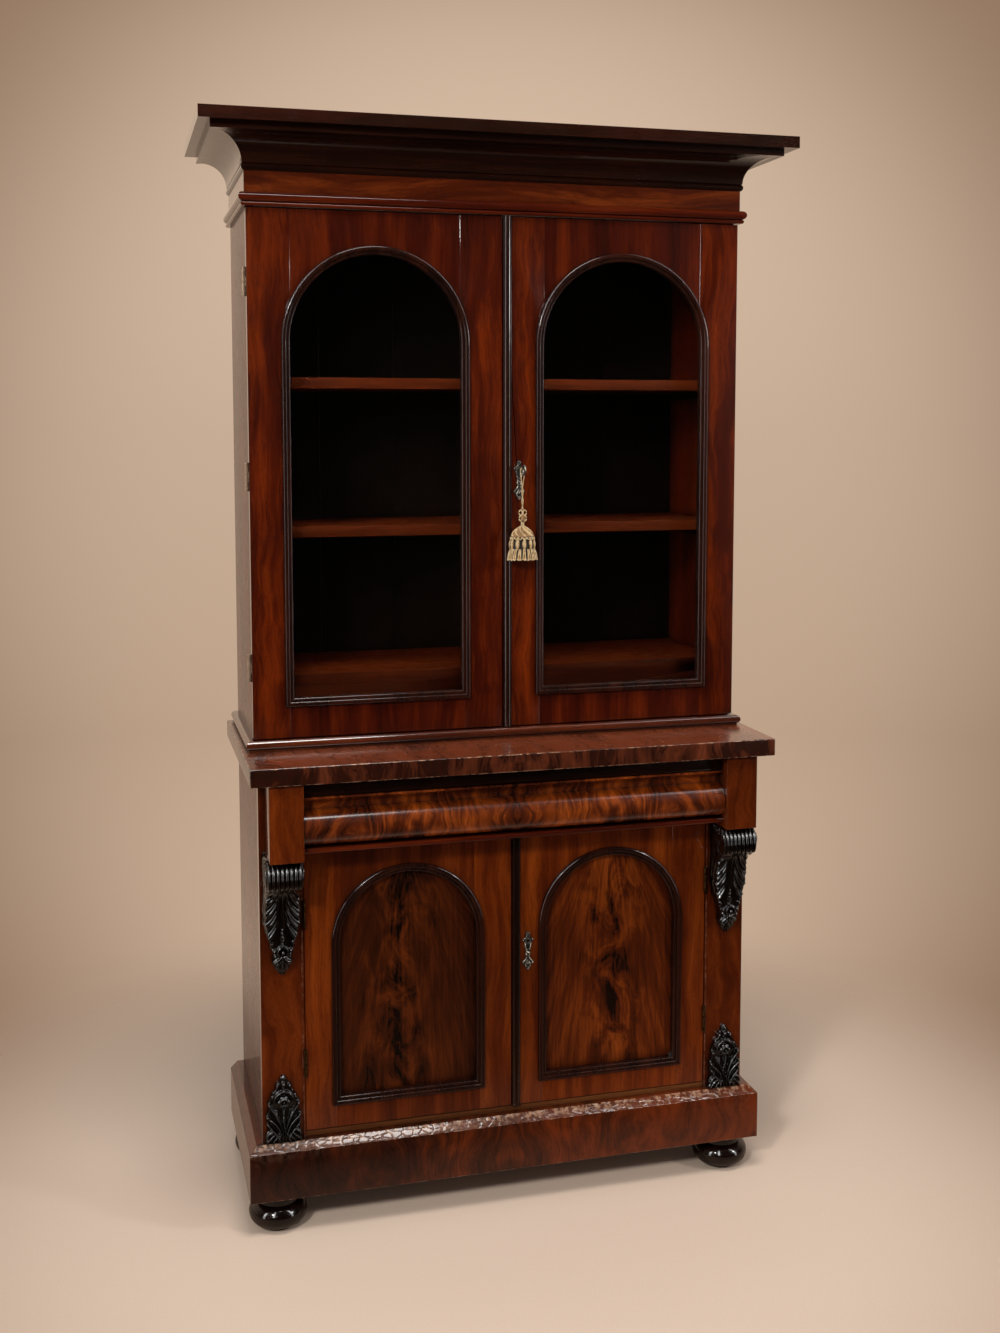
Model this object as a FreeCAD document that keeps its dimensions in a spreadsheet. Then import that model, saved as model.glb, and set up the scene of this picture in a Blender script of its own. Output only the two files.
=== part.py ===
import FreeCAD, Part
import math
import os

import Sketcher
from FreeCAD import Vector

# A Victorian glazed bookcase on a cupboard base with a frieze drawer. All lengths are in millimetres.
# +Z is up and the front faces -Y. The origin is on the floor, in the middle of the whole outline.
# "Depth" is measured forward from the flat back of the case. Pieces are drawn on the right (+X) side
# and mirrored to the left.

SIZES = (
    # name, size, what it is
    ("case_width", 1100, "outside width of the base and of the upper case"),
    ("base_depth", 422, "back to the faces of the pilasters and cupboard doors"),
    ("upper_depth", 350, "back to the faces of the glazed doors"),
    ("foot_height", 80, "floor to the underside of the plinth"),
    ("foot_radius", 62.5, "bun foot at its widest"),
    ("foot_neck_radius", 45, "bun foot where it meets the plinth"),
    ("foot_disc_radius", 38, "turned disc that the bun foot stands on"),
    ("foot_disc_height", 5, "thickness of that disc"),
    ("foot_bun_height", 52, "height of the bun itself"),
    ("foot_inset", 65, "plinth face to the centre of a foot"),
    ("plinth_height", 120, "height of the plinth boards"),
    ("plinth_projection", 31, "plinth face beyond the case"),
    ("plinth_thickness", 46, "thickness of the plinth boards"),
    ("plinth_chamfer", 16, "bevel along the top of the plinth"),
    ("base_height", 791, "plinth to the underside of the waist slab"),
    ("side_thickness", 22, "sides of both cases"),
    ("back_thickness", 12, "back boards"),
    ("back_boards", 6, "how many boards make a back"),
    ("board_seam", 0.6, "gap between two back boards"),
    ("base_floor_step", 11, "cupboard floor above the plinth, seen under the doors"),
    ("base_floor_thickness", 22, "cupboard floor board"),
    ("fit_gap", 0.3, "loose fit between pieces that are lifted or slid in"),
    ("shelf_thickness", 23, "bookshelves and cupboard shelf"),
    ("cupboard_shelf_rise", 340, "plinth to the top of the cupboard shelf"),
    ("cupboard_shelf_setback", 40, "cupboard shelf behind the cupboard doors"),
    ("bearer_height", 18, "wooden strips that carry the shelves"),
    ("bearer_width", 16, "their width"),
    ("pilaster_width", 92, "front stile of the base, at each side"),
    ("pilaster_thickness", 22, "its thickness"),
    ("cock_bead_radius", 2, "small bead beside the cupboard doors"),
    ("cock_bead_inset", 3.9, "its centre, from the pilaster's inner edge"),
    ("block_width", 71, "block between corbel and slab"),
    ("block_inset", 12.5, "block in from the side of the case"),
    ("block_projection", 95.5, "block forward of the pilaster"),
    ("block_height", 163, "height of the block"),
    ("corbel_height", 263, "height of the carved corbel"),
    ("corbel_back_width", 80, "corbel against the pilaster"),
    ("corbel_front_width", 74, "corbel at its front"),
    ("carving_shift", 4, "corbel and lower carving outward from the middle of the block"),
    ("corbel_scroll_radius", 31, "rolled top of the corbel"),
    ("corbel_projection", 89, "corbel forward of the pilaster"),
    ("carving_height", 144, "applied carving at the foot of each pilaster"),
    ("carving_width", 78, "its width"),
    ("carving_thickness", 16, "its body, without the rosette"),
    ("rosette_radius", 15, "boss on that carving"),
    ("rosette_height", 85, "plinth to the centre of the boss"),
    ("rosette_projection", 24, "boss forward of the pilaster"),
    ("slab_thickness", 38, "waist slab"),
    ("slab_projection", 106, "waist slab forward of the pilasters"),
    ("slab_overhang", 26, "slab beyond the side of the case"),
    ("slab_arris", 2.5, "rounding of the slab's edges"),
    ("waist_moulding_height", 22, "moulding that holds the upper case in place"),
    ("waist_moulding_fillet", 3, "flat step under its rounded nose"),
    ("waist_moulding_projection", 16, "moulding beyond the upper case"),
    ("rail_projection", 67, "fixed rail under the slab, forward of the pilasters"),
    ("rail_thickness", 22, "that rail"),
    ("rail_height", 33, "its height"),
    ("drawer_rail_projection", 75.5, "nose of the rail under the drawer, forward of the pilasters"),
    ("drawer_rail_thickness", 12, "that rail"),
    ("drawer_rail_tongue", 42, "rail behind the faces of the pilasters"),
    ("drawer_gap", 1.5, "clearance round the drawer front"),
    ("drawer_bolster_radius", 38, "half-round swell of the drawer front"),
    ("drawer_bolster_projection", 52, "centre of that swell, forward of the pilasters"),
    ("drawer_cove_run", 20, "hollow above the swell, forward"),
    ("drawer_cove_rise", 22, "hollow above the swell, upward"),
    ("drawer_side_thickness", 12.5, "drawer sides and back"),
    ("drawer_side_height", 92, "their height"),
    ("drawer_bottom_thickness", 7, "drawer bottom"),
    ("drawer_bottom_rise", 7, "drawer bottom above the edge of the sides"),
    ("drawer_back_setback", 22, "drawer back from the back of the case"),
    ("runner_guide_height", 20, "guide beside each drawer side"),
    ("runner_width", 24, "part of the runner under the drawer side"),
    ("upper_height", 1141, "slab to the top of the upper case"),
    ("upper_top_thickness", 22, "top board of the upper case"),
    ("upper_floor_rise", 155, "slab to the top of the lowest book board"),
    ("upper_floor_setback", 30, "that board behind the door faces"),
    ("shelf_setback", 45, "bookshelves behind the door faces"),
    ("lower_shelf_rise", 473, "slab to the top of the lower bookshelf"),
    ("upper_shelf_rise", 792, "slab to the top of the upper bookshelf"),
    ("door_thickness", 22, "frames of all four doors"),
    ("door_gap", 1, "clearance round the doors"),
    ("upper_door_rise", 2.5, "glazed doors above the waist moulding"),
    ("lower_door_rise", 2, "cupboard doors above their floor"),
    ("upper_hinge_stile", 70, "glazed door: edge to the moulding, hinge side"),
    ("upper_meeting_stile", 74, "glazed door: edge to the moulding, middle"),
    ("upper_bottom_rail", 67.5, "glazed door: foot to the moulding"),
    ("upper_crown", 72, "glazed door: top of the arch to the top of the door"),
    ("upper_moulding_proud", 10, "pane moulding forward of the glazed door"),
    ("lower_hinge_stile", 57, "cupboard door: edge to the moulding, hinge side"),
    ("lower_meeting_stile", 61, "cupboard door: edge to the moulding, middle"),
    ("lower_bottom_rail", 49, "cupboard door: foot to the moulding"),
    ("lower_crown", 56, "cupboard door: top of the arch to the top of the door"),
    ("lower_moulding_proud", 8, "panel moulding forward of the cupboard door"),
    ("bead_outer_width", 10.5, "outer bead of a door moulding"),
    ("bead_inner_width", 7.5, "inner bead of a door moulding"),
    ("bead_step", 4, "inner bead behind the outer one"),
    ("moulding_depth", 12, "inner bead into the door's thickness"),
    ("rail_horn", 60, "height of the top rail's ends above the arch's spring"),
    ("glass_thickness", 3, "window glass"),
    ("panel_thickness", 6, "cupboard door panel"),
    ("centre_bead_width", 19, "half-round bead where the doors meet"),
    ("hinge_length", 60, "height of each butt hinge"),
    ("hinge_end", 150, "end of a door to the middle of its outer hinges"),
    ("upper_hinges", 3, "hinges on each glazed door"),
    ("lower_hinges", 2, "hinges on each cupboard door"),
    ("leaf_thickness", 1.6, "hinge leaf"),
    ("leaf_width", 17, "hinge leaf, from the edge of the door"),
    ("knuckle_gap", 0.2, "gap between two knuckles"),
    ("knuckle_clearance", 0.5, "gap between a knuckle and the wood"),
    ("upper_knuckle_radius", 4, "hinge knuckle on the glazed doors"),
    ("lower_knuckle_radius", 3.2, "hinge knuckle on the cupboard doors"),
    ("pin_radius", 1.5, "hinge pin"),
    ("pin_play", 0.05, "hinge pin in its bore"),
    ("lock_width", 60, "both locks"),
    ("lock_height", 46, "their height"),
    ("lock_thickness", 13, "their thickness"),
    ("lock_wall", 1.5, "sheet brass of a lock"),
    ("lock_key_drop", 24, "keyhole below the top of the lock"),
    ("bolt_height", 7, "lock bolt"),
    ("bolt_thickness", 6, "its thickness"),
    ("bolt_length", 34, "its length"),
    ("bolt_throw", 8, "how far the key shoots it"),
    ("bolt_play", 0.6, "space round the bolt in the left door's mortise"),
    ("keyhole_inset", 36, "meeting edge of a door to its keyhole"),
    ("keyhole_radius", 4, "keyhole through stile and escutcheon"),
    ("upper_keyhole_rise", 593, "slab to the upper keyhole"),
    ("lower_keyhole_rise", 385, "plinth to the lower keyhole"),
    ("escutcheon_above", 21, "keyhole to the top of its escutcheon"),
    ("escutcheon_below", 67, "keyhole to the foot of its escutcheon"),
    ("escutcheon_width", 26, "escutcheon plate"),
    ("escutcheon_thickness", 2, "its thickness"),
    ("key_shank_radius", 2.6, "key"),
    ("key_bit_reach", 8.5, "key bit from the axis"),
    ("key_bit_length", 6, "key bit along the axis"),
    ("key_bit_thickness", 2, "key bit"),
    ("key_cord_standoff", 28, "face of the door to the tassel's cord on the key"),
    ("key_collar_radius", 4.2, "collar that keeps the cord off the door"),
    ("key_collar_length", 3, "that collar"),
    ("key_bow_radius", 9.5, "ring at the end of the key"),
    ("key_bow_wire", 2.2, "thickness of that ring, as a radius"),
    ("cord_diameter", 2.4, "each strand of the tassel's cord"),
    ("cord_drop", 86, "key to the top of the tassel"),
    ("cord_spread", 1.5, "half the distance between the strands at the tassel"),
    ("tassel_half_depth", 17, "the tassel hangs flat in front of the door"),
    ("tassel_knot_width", 18, "knotted bow at the top of the tassel"),
    ("tassel_knot_height", 24, "its height"),
    ("tassel_neck_width", 11, "strands between knot and cap"),
    ("tassel_neck_height", 12, "their height"),
    ("tassel_cap_width", 49, "domed cap"),
    ("tassel_cap_height", 26, "its height"),
    ("tassel_skirt_width", 70, "foot of the fringe"),
    ("tassel_skirt_height", 50, "height of the fringe"),
    ("frieze_proud", 3, "frieze beyond the case and doors"),
    ("frieze_height", 72, "flat frieze with the astragal at its foot"),
    ("frieze_thickness", 22, "frieze boards"),
    ("astragal_large_radius", 9.5, "upper half-round of the astragal"),
    ("astragal_small_radius", 4.5, "lower half-round of the astragal"),
    ("astragal_fillet", 3, "flat ground behind both half-rounds"),
    ("cornice_bead_height", 15, "bead under the cove"),
    ("cornice_bead_ground", 1, "flat ground behind that bead"),
    ("cornice_bead_flatness", 4, "its centre behind that ground"),
    ("cove_step", 4, "foot of the cove beyond the frieze"),
    ("cove_run", 64, "cove, outward"),
    ("cove_rise", 54, "cove, upward"),
    ("cove_lip", 4, "step above the cove"),
    ("cove_lip_height", 14, "height of that step"),
    ("cornice_top_thickness", 25, "flat board on top of the cornice"),
    ("cornice_top_overhang", 25, "that board beyond the cove"),
    ("mitre_margin", 5, "how far a mitre's cutter reaches past its moulding"),
)


class Size:
    """A length together with the spreadsheet formula that gives it, so that one sum makes both."""

    def __init__(self, value, formula):
        self.value = value
        self.formula = formula

    def __add__(self, other):
        other = as_size(other)
        return Size(self.value + other.value, f"({self.formula} + {other.formula})")

    def __sub__(self, other):
        other = as_size(other)
        return Size(self.value - other.value, f"({self.formula} - {other.formula})")

    def __mul__(self, other):
        other = as_size(other)
        return Size(self.value * other.value, f"({self.formula} * {other.formula})")

    def __truediv__(self, other):
        other = as_size(other)
        return Size(self.value / other.value, f"({self.formula} / {other.formula})")

    def __neg__(self):
        return Size(-self.value, f"(-1 * {self.formula})")

    __radd__ = __add__
    __rmul__ = __mul__

    def __rsub__(self, other):
        return as_size(other) - self


def as_size(number):
    return number if isinstance(number, Size) else Size(float(number), f"{float(number):.6f}")


def root(size):
    return Size(math.sqrt(size.value), f"sqrt({size.formula})")


doc = FreeCAD.newDocument("Bookcase")
sheet = doc.addObject("Spreadsheet::Sheet", "Sizes")


class Sheet:
    """The named sizes, each an attribute that points at its cell."""


s = Sheet()
for row, (alias, number, note) in enumerate(SIZES, start=1):
    sheet.set(f"A{row}", alias)
    sheet.set(f"B{row}", str(number))
    sheet.setAlias(f"B{row}", alias)
    sheet.set(f"C{row}", note)
    setattr(s, alias, Size(float(number), f"Sizes.{alias}"))


def derive(alias, size):
    """Puts a worked-out size into the sheet under its own name."""
    cell = f"B{len(SIZES) + 2 + len(derived)}"
    sheet.set(cell.replace("B", "A"), alias)
    sheet.set(cell, "=" + size.formula.replace("Sizes.", ""))
    sheet.setAlias(cell, alias)
    derived.append(alias)
    return Size(size.value, f"Sizes.{alias}")


derived = []

# Levels above the floor.
plinth_top = derive("plinth_top", s.foot_height + s.plinth_height)
slab_bottom = derive("slab_bottom", plinth_top + s.base_height)
slab_top = derive("slab_top", slab_bottom + s.slab_thickness)
upper_top = derive("upper_top", slab_top + s.upper_height)
base_floor = derive("base_floor", plinth_top + s.base_floor_step)
block_bottom = derive("block_bottom", slab_bottom - s.block_height)
rail_bottom = derive("rail_bottom", slab_bottom - s.rail_height)
drawer_top = derive("drawer_top", rail_bottom - s.drawer_gap)
bolster_middle = derive(
    "bolster_middle",
    drawer_top - s.cock_bead_radius * 2 - s.drawer_cove_rise - s.cock_bead_radius - s.drawer_bolster_radius,
)
drawer_bottom = derive("drawer_bottom", bolster_middle - s.drawer_bolster_radius)
drawer_rail_top = derive("drawer_rail_top", drawer_bottom - s.drawer_gap)
drawer_rail_bottom = derive("drawer_rail_bottom", drawer_rail_top - s.drawer_rail_thickness)
upper_floor = derive("upper_floor", slab_top + s.upper_floor_rise)
cupboard_shelf_top = derive("cupboard_shelf_top", plinth_top + s.cupboard_shelf_rise)
lower_shelf_top = derive("lower_shelf_top", slab_top + s.lower_shelf_rise)
upper_shelf_top = derive("upper_shelf_top", slab_top + s.upper_shelf_rise)
upper_keyhole = derive("upper_keyhole", slab_top + s.upper_keyhole_rise)
lower_keyhole = derive("lower_keyhole", plinth_top + s.lower_keyhole_rise)
frieze_top = derive("frieze_top", upper_top + s.frieze_height)
cove_foot = derive("cove_foot", frieze_top + s.cornice_bead_height)
cove_top = derive("cove_top", cove_foot + s.cove_rise)
cornice_top = derive("cornice_top", cove_top + s.cove_lip_height)

# Distances from the middle, and depths from the back.
half_case = derive("half_case", s.case_width / 2)
half_inside = derive("half_inside", half_case - s.side_thickness)
half_plinth = derive("half_plinth", half_case + s.plinth_projection)
plinth_depth = derive("plinth_depth", s.base_depth + s.plinth_projection)
door_opening = derive("door_opening", half_case - s.pilaster_width)
block_outer = derive("block_outer", half_case - s.block_inset)
block_inner = derive("block_inner", block_outer - s.block_width)
carving_middle = derive("carving_middle", block_outer - s.block_width / 2 + s.carving_shift)
pilaster_back = derive("pilaster_back", s.base_depth - s.pilaster_thickness)
drawer_half = derive("drawer_half", block_inner - s.drawer_gap)
drawer_box_half = derive("drawer_box_half", door_opening - s.drawer_gap)
upper_front = derive("upper_front", s.upper_depth - s.door_thickness - s.door_gap / 2)
half_frieze = derive("half_frieze", half_case + s.frieze_proud)
frieze_depth = derive("frieze_depth", s.upper_depth + s.frieze_proud)
slab_depth = derive("slab_depth", s.base_depth + s.slab_projection)
rail_depth = derive("rail_depth", s.base_depth + s.rail_projection)
drawer_rail_depth = derive("drawer_rail_depth", s.base_depth + s.drawer_rail_projection)
bolster_depth = derive("bolster_depth", s.base_depth + s.drawer_bolster_projection)
back_plane = derive("back_plane", slab_depth / 2)


def forward(depth):
    """The Y of a depth from the back of the case."""
    return back_plane - depth


def bind(item, name, size):
    size = as_size(size)
    setattr(item, name, size.value)
    item.setExpression(name, size.formula)


def place(item, x, y, z):
    for axis, size in zip("xyz", (x, y, z)):
        item.setExpression(f"Placement.Base.{axis}", as_size(size).formula)


def box(label, x, depth, z):
    """A plain board between two distances from the middle, two depths and two levels."""
    item = doc.addObject("Part::Box", label)
    item.Label = label
    bind(item, "Length", x[1] - x[0])
    bind(item, "Width", depth[1] - depth[0])
    bind(item, "Height", z[1] - z[0])
    place(item, x[0], forward(depth[1]), z[0])
    return item


def upright_cylinder(label, x, depth, z, radius):
    item = doc.addObject("Part::Cylinder", label)
    item.Label = label
    bind(item, "Radius", radius)
    bind(item, "Height", z[1] - z[0])
    place(item, x, forward(depth), z[0])
    return item


def level_cylinder(label, x, depth, z, radius):
    """A cylinder that points forward, between two depths."""
    item = doc.addObject("Part::Cylinder", label)
    item.Label = label
    bind(item, "Radius", radius)
    bind(item, "Height", depth[1] - depth[0])
    item.Placement = FreeCAD.Placement(Vector(), FreeCAD.Rotation(Vector(1, 0, 0), 90))
    place(item, x, forward(depth[0]), z)
    return item


def fuse(label, pieces):
    item = doc.addObject("Part::MultiFuse", label)
    item.Label = label
    item.Shapes = pieces
    return item


def cut(label, board, tools):
    item = doc.addObject("Part::Cut", label)
    item.Label = label
    item.Base = board
    item.Tool = tools[0] if len(tools) == 1 else fuse(label + "_cutters", tools)
    return item


def group(label, pieces):
    """Several separate solids that share a node."""
    item = doc.addObject("Part::Compound", label)
    item.Label = label
    item.Links = pieces
    return item


def mirrored(label, source):
    item = doc.addObject("Part::Mirroring", label)
    item.Label = label
    item.Source = source
    item.Base = Vector()
    item.Normal = Vector(1, 0, 0)
    return item


def pair(label, right):
    """A piece of the right side and its mirror image, as one node."""
    return group(label, [right, mirrored(label + "_mirrored", right)])


# Sketches. A corner is (across, up), or (across, up, arc) where the side that leaves it is an arc.


def arc(across, up, turn):
    """An arc about a centre: turn is 1 anticlockwise and -1 clockwise."""
    return (as_size(across), as_size(up), turn)


def sketch_in(body, role, start):
    """A sketch on one of the body's own origin planes, moved along its normal."""
    sketch = body.newObject("Sketcher::SketchObject", body.Name + "_sketch")
    plane = next(item for item in body.Origin.OriginFeatures if item.Role == role)
    sketch.AttachmentSupport = [(plane, "")]
    sketch.MapMode = "FlatFace"
    sketch.setExpression("AttachmentOffset.Base.z", as_size(start).formula)
    return sketch


def coordinate(sketch, kind, edge, point, size, name):
    size = as_size(size)
    index = sketch.addConstraint(Sketcher.Constraint(kind, edge, point, size.value))
    sketch.renameConstraint(index, name)
    sketch.setExpression(f"Constraints.{name}", size.formula)


def draw(sketch, corners, name="outline"):
    """A closed outline whose corners all follow the sheet."""
    sides = []
    for index, corner in enumerate(corners):
        start = [as_size(size).value for size in corner[:2]]
        end = [as_size(size).value for size in corners[(index + 1) % len(corners)][:2]]
        if len(corner) == 2:
            line = Part.LineSegment(Vector(start[0], start[1], 0), Vector(end[0], end[1], 0))
            sides.append((sketch.addGeometry(line, False), 1, 2))
            continue
        middle = Vector(corner[2][0].value, corner[2][1].value, 0)
        first, last = (start, end) if corner[2][2] > 0 else (end, start)
        radius = math.hypot(first[0] - middle.x, first[1] - middle.y)
        angles = [math.atan2(point[1] - middle.y, point[0] - middle.x) for point in (first, last)]
        curve = Part.ArcOfCircle(Part.Circle(middle, Vector(0, 0, 1), radius), *angles)
        ends = (1, 2) if corner[2][2] > 0 else (2, 1)
        sides.append((sketch.addGeometry(curve, False), *ends))
    for index, corner in enumerate(corners):
        edge, leaving, arriving = sides[index]
        after, after_leaving, _ = sides[(index + 1) % len(corners)]
        sketch.addConstraint(Sketcher.Constraint("Coincident", edge, arriving, after, after_leaving))
        coordinate(sketch, "DistanceX", edge, leaving, corner[0], f"{name}_across{index}")
        coordinate(sketch, "DistanceY", edge, leaving, corner[1], f"{name}_up{index}")
        if len(corner) == 3:
            end = corners[(index + 1) % len(corners)]
            run = abs(as_size(end[0]).value - as_size(corner[0]).value)
            rise = abs(as_size(end[1]).value - as_size(corner[1]).value)
            kind, size = ("DistanceX", corner[2][0]) if rise >= run else ("DistanceY", corner[2][1])
            coordinate(sketch, kind, edge, 3, size, f"{name}_centre{index}")


def circle(sketch, across, up, radius, name="circle"):
    across, up, radius = as_size(across), as_size(up), as_size(radius)
    shape = Part.Circle(Vector(across.value, up.value, 0), Vector(0, 0, 1), radius.value)
    edge = sketch.addGeometry(shape, False)
    coordinate(sketch, "DistanceX", edge, 3, across, name + "_across")
    coordinate(sketch, "DistanceY", edge, 3, up, name + "_up")
    index = sketch.addConstraint(Sketcher.Constraint("Radius", edge, radius.value))
    sketch.renameConstraint(index, name + "_radius")
    sketch.setExpression(f"Constraints.{name}_radius", radius.formula)


def new_body(label):
    body = doc.addObject("PartDesign::Body", label)
    body.Label = label
    return body


def pad(body, role, span, *outlines):
    """Pads one or more outlines between two distances along a plane's normal."""
    sketch = sketch_in(body, role, span[0])
    for index, corners in enumerate(outlines):
        draw(sketch, corners, f"outline{index}")
    feature = body.newObject("PartDesign::Pad", body.Name + "_pad")
    feature.Profile = sketch
    bind(feature, "Length", span[1] - span[0])
    return feature


def depths(back, front):
    """Two depths as distances along the XZ plane's normal, which points forward."""
    return (back - back_plane, front - back_plane)


def pocket_through(body, role, start, corners):
    """Cuts an outline right through, both ways, and makes sure that it cut something."""
    doc.recompute()
    before = body.Tip.Shape.Volume
    sketch = sketch_in(body, role, start)
    draw(sketch, corners)
    feature = body.newObject("PartDesign::Pocket", body.Name + "_pocket")
    feature.Profile = sketch
    feature.Type = "ThroughAll"
    feature.SideType = "Symmetric"
    doc.recompute()
    if feature.Shape.Volume >= before:
        raise RuntimeError(f"{body.Label}: a pocket cut nothing")


def fillet(body, radius, chosen):
    """Rounds the edges of a body that chosen() picks."""
    doc.recompute()
    tip = body.Tip
    names = [f"Edge{i}" for i, edge in enumerate(tip.Shape.Edges, start=1) if chosen(edge)]
    feature = body.newObject("PartDesign::Fillet", body.Name + "_fillet")
    feature.Base = (tip, names)
    bind(feature, "Radius", radius)


def lies_at(edge, axis, value):
    """Whether a whole edge lies at one X, Y or Z."""
    limits = edge.BoundBox
    low, high = getattr(limits, axis + "Min"), getattr(limits, axis + "Max")
    return abs(low - value) < 0.01 and abs(high - value) < 0.01


# Mouldings and boards that run along the front and return along both sides, mitred at the corners.


def flipped(corners):
    """A profile of (out, up) drawn in the YZ plane, where out runs backwards."""
    drawn = []
    for out, up, *curve in corners:
        point = (forward(as_size(out)), up)
        drawn.append(point if not curve else (*point, arc(forward(curve[0][0]), curve[0][1], -curve[0][2])))
    return drawn


def shifted(corners, distance):
    """A profile of (out, up) moved outward."""
    drawn = []
    for out, up, *curve in corners:
        point = (out + distance, up)
        drawn.append(point if not curve else (*point, arc(curve[0][0] + distance, curve[0][1], curve[0][2])))
    return drawn


def front_run(label, half_width, depth, profile, reach):
    """The front length. Its mitres run through the corner at half_width and depth.

    The profile is (out from that corner, level), and reach is its (inmost, outmost).
    """
    body = new_body(label)
    end = half_width + reach[1]
    pad(body, "YZ_Plane", (-end, end), flipped(shifted(profile, depth)))
    for side in (1, -1):
        inner, outer = reach[0] - s.mitre_margin, reach[1] + s.mitre_margin
        pocket_through(body, "XY_Plane", as_size(0), [
            ((half_width + inner) * side, forward(depth + inner)),
            ((half_width + outer) * side, forward(depth + outer)),
            ((half_width + outer) * side, forward(depth + inner)),
        ])
    return body


def side_run(label, half_width, depth, profile, reach):
    """The right return, from the back to the mitre."""
    body = new_body(label)
    pad(body, "XZ_Plane", depths(as_size(0), depth + reach[1]), shifted(profile, half_width))
    inner, outer = reach[0] - s.mitre_margin, reach[1] + s.mitre_margin
    pocket_through(body, "XY_Plane", as_size(0), [
        (half_width + inner, forward(depth + inner)),
        (half_width + outer, forward(depth + outer)),
        (half_width + inner, forward(depth + outer)),
    ])
    return body


nodes = []


def node(item):
    nodes.append(item)
    return item


# Feet and plinth.


UPRIGHT_SIDE = "Edge8"  # the last side of a foot's outline closes it along the axis it is turned about


def bun_foot(label, x, depth):
    """A turned foot: a disc, a bun and a neck under the plinth."""
    body = new_body(label)
    sketch = sketch_in(body, "XZ_Plane", depth - back_plane)
    equator = s.foot_disc_height + s.foot_bun_height / 2
    bun_top = s.foot_disc_height + s.foot_bun_height
    swell = s.foot_bun_height / 2
    disc_corner = x + s.foot_radius - swell
    draw(sketch, [
        (x, as_size(0)),
        (x + s.foot_disc_radius, as_size(0)),
        (x + s.foot_disc_radius, s.foot_disc_height),
        (disc_corner, s.foot_disc_height, arc(disc_corner, equator, 1)),
        (disc_corner, bun_top),
        (x + s.foot_neck_radius, bun_top),
        (x + s.foot_neck_radius, s.foot_height),
        (x, s.foot_height),
    ])
    feature = body.newObject("PartDesign::Revolution", label + "_turned")
    feature.Profile = sketch
    feature.ReferenceAxis = (sketch, [UPRIGHT_SIDE])
    feature.Angle = 360
    return body


foot_x = half_plinth - s.foot_inset
front_foot = bun_foot("front_foot", foot_x, plinth_depth - s.foot_inset)
rear_foot = bun_foot("rear_foot", foot_x, s.foot_inset)
node(group("bun_feet", [
    front_foot,
    mirrored("front_foot_left", front_foot),
    rear_foot,
    mirrored("rear_foot_left", rear_foot),
]))

plinth_profile = [
    (-s.plinth_thickness, s.foot_height),
    (as_size(0), s.foot_height),
    (as_size(0), plinth_top - s.plinth_chamfer),
    (-s.plinth_chamfer, plinth_top),
    (-s.plinth_thickness, plinth_top),
]
plinth_reach = (-s.plinth_thickness, as_size(0))
node(front_run("plinth_front", half_plinth, plinth_depth, plinth_profile, plinth_reach))
plinth_side = side_run("plinth_side", half_plinth, plinth_depth, plinth_profile, plinth_reach)
half_plinth_inside = half_plinth - s.plinth_thickness
plinth_back = box(
    "plinth_back",
    (-half_plinth_inside, half_plinth_inside),
    (as_size(0), s.back_thickness),
    (s.foot_height, plinth_top),
)
node(group("plinth_returns", [plinth_side, mirrored("plinth_side_left", plinth_side), plinth_back]))


# Base carcass.


def boarded_back(label, low, high):
    """Upright back boards side by side between the case sides."""
    count = int(s.back_boards.value)
    width = half_inside * 2 / s.back_boards
    boards = []
    for index in range(count):
        left = width * index - half_inside + s.board_seam / 2
        span = (left, left + width - s.board_seam)
        boards.append(box(f"{label}_{index}", span, (as_size(0), s.back_thickness), (low, high)))
    return group(label, boards)


def shelf(label, top, setback_depth):
    half = half_inside - s.fit_gap
    back = s.back_thickness + s.fit_gap
    return box(label, (-half, half), (back, setback_depth), (top - s.shelf_thickness, top))


def bearer(label, shelf_top, front):
    """The strip under one end of a shelf."""
    top = shelf_top - s.shelf_thickness
    return box(
        label,
        (half_inside - s.bearer_width, half_inside),
        (s.back_thickness, front),
        (top - s.bearer_height, top),
    )


base_side = box("base_side", (half_inside, half_case), (as_size(0), pilaster_back), (plinth_top, slab_bottom))
node(pair("base_sides", base_side))
node(boarded_back("base_back_boards", plinth_top, slab_bottom))
floor_board = box(
    "base_floor_board",
    (-half_inside, half_inside),
    (s.back_thickness, pilaster_back),
    (base_floor - s.base_floor_thickness, base_floor),
)
floor_lip = box(
    "base_floor_lip",
    (-door_opening, door_opening),
    (pilaster_back, s.base_depth - s.door_gap),
    (plinth_top, base_floor),
)
node(fuse("base_floor", [floor_board, floor_lip]))
cupboard_shelf_front = s.base_depth - s.cupboard_shelf_setback
node(shelf("cupboard_shelf", cupboard_shelf_top, cupboard_shelf_front))


def pilaster():
    """The base's front stile with the small bead that runs beside the door."""
    body = new_body("pilaster")
    pad(body, "XZ_Plane", depths(pilaster_back, s.base_depth), [
        (door_opening, plinth_top),
        (half_case, plinth_top),
        (half_case, slab_bottom),
        (door_opening, slab_bottom),
    ])
    middle = door_opening + s.cock_bead_inset
    left, right = middle - s.cock_bead_radius, middle + s.cock_bead_radius
    face = forward(s.base_depth)
    pad(body, "XY_Plane", (plinth_top, drawer_rail_bottom - s.fit_gap), [
        (left, face + s.cock_bead_radius),
        (left, face, arc(middle, face, 1)),
        (right, face),
        (right, face + s.cock_bead_radius),
    ])
    return body


# Hinges. A door carries the middle knuckle and its frame the outer two with the pin.


def hinge_levels(low, high, count):
    """The middles of a door's hinges: two near its ends and any others spread between."""
    first, last = low + s.hinge_end, high - s.hinge_end
    return [first + (last - first) * index / (count - 1) for index in range(count)]


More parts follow.
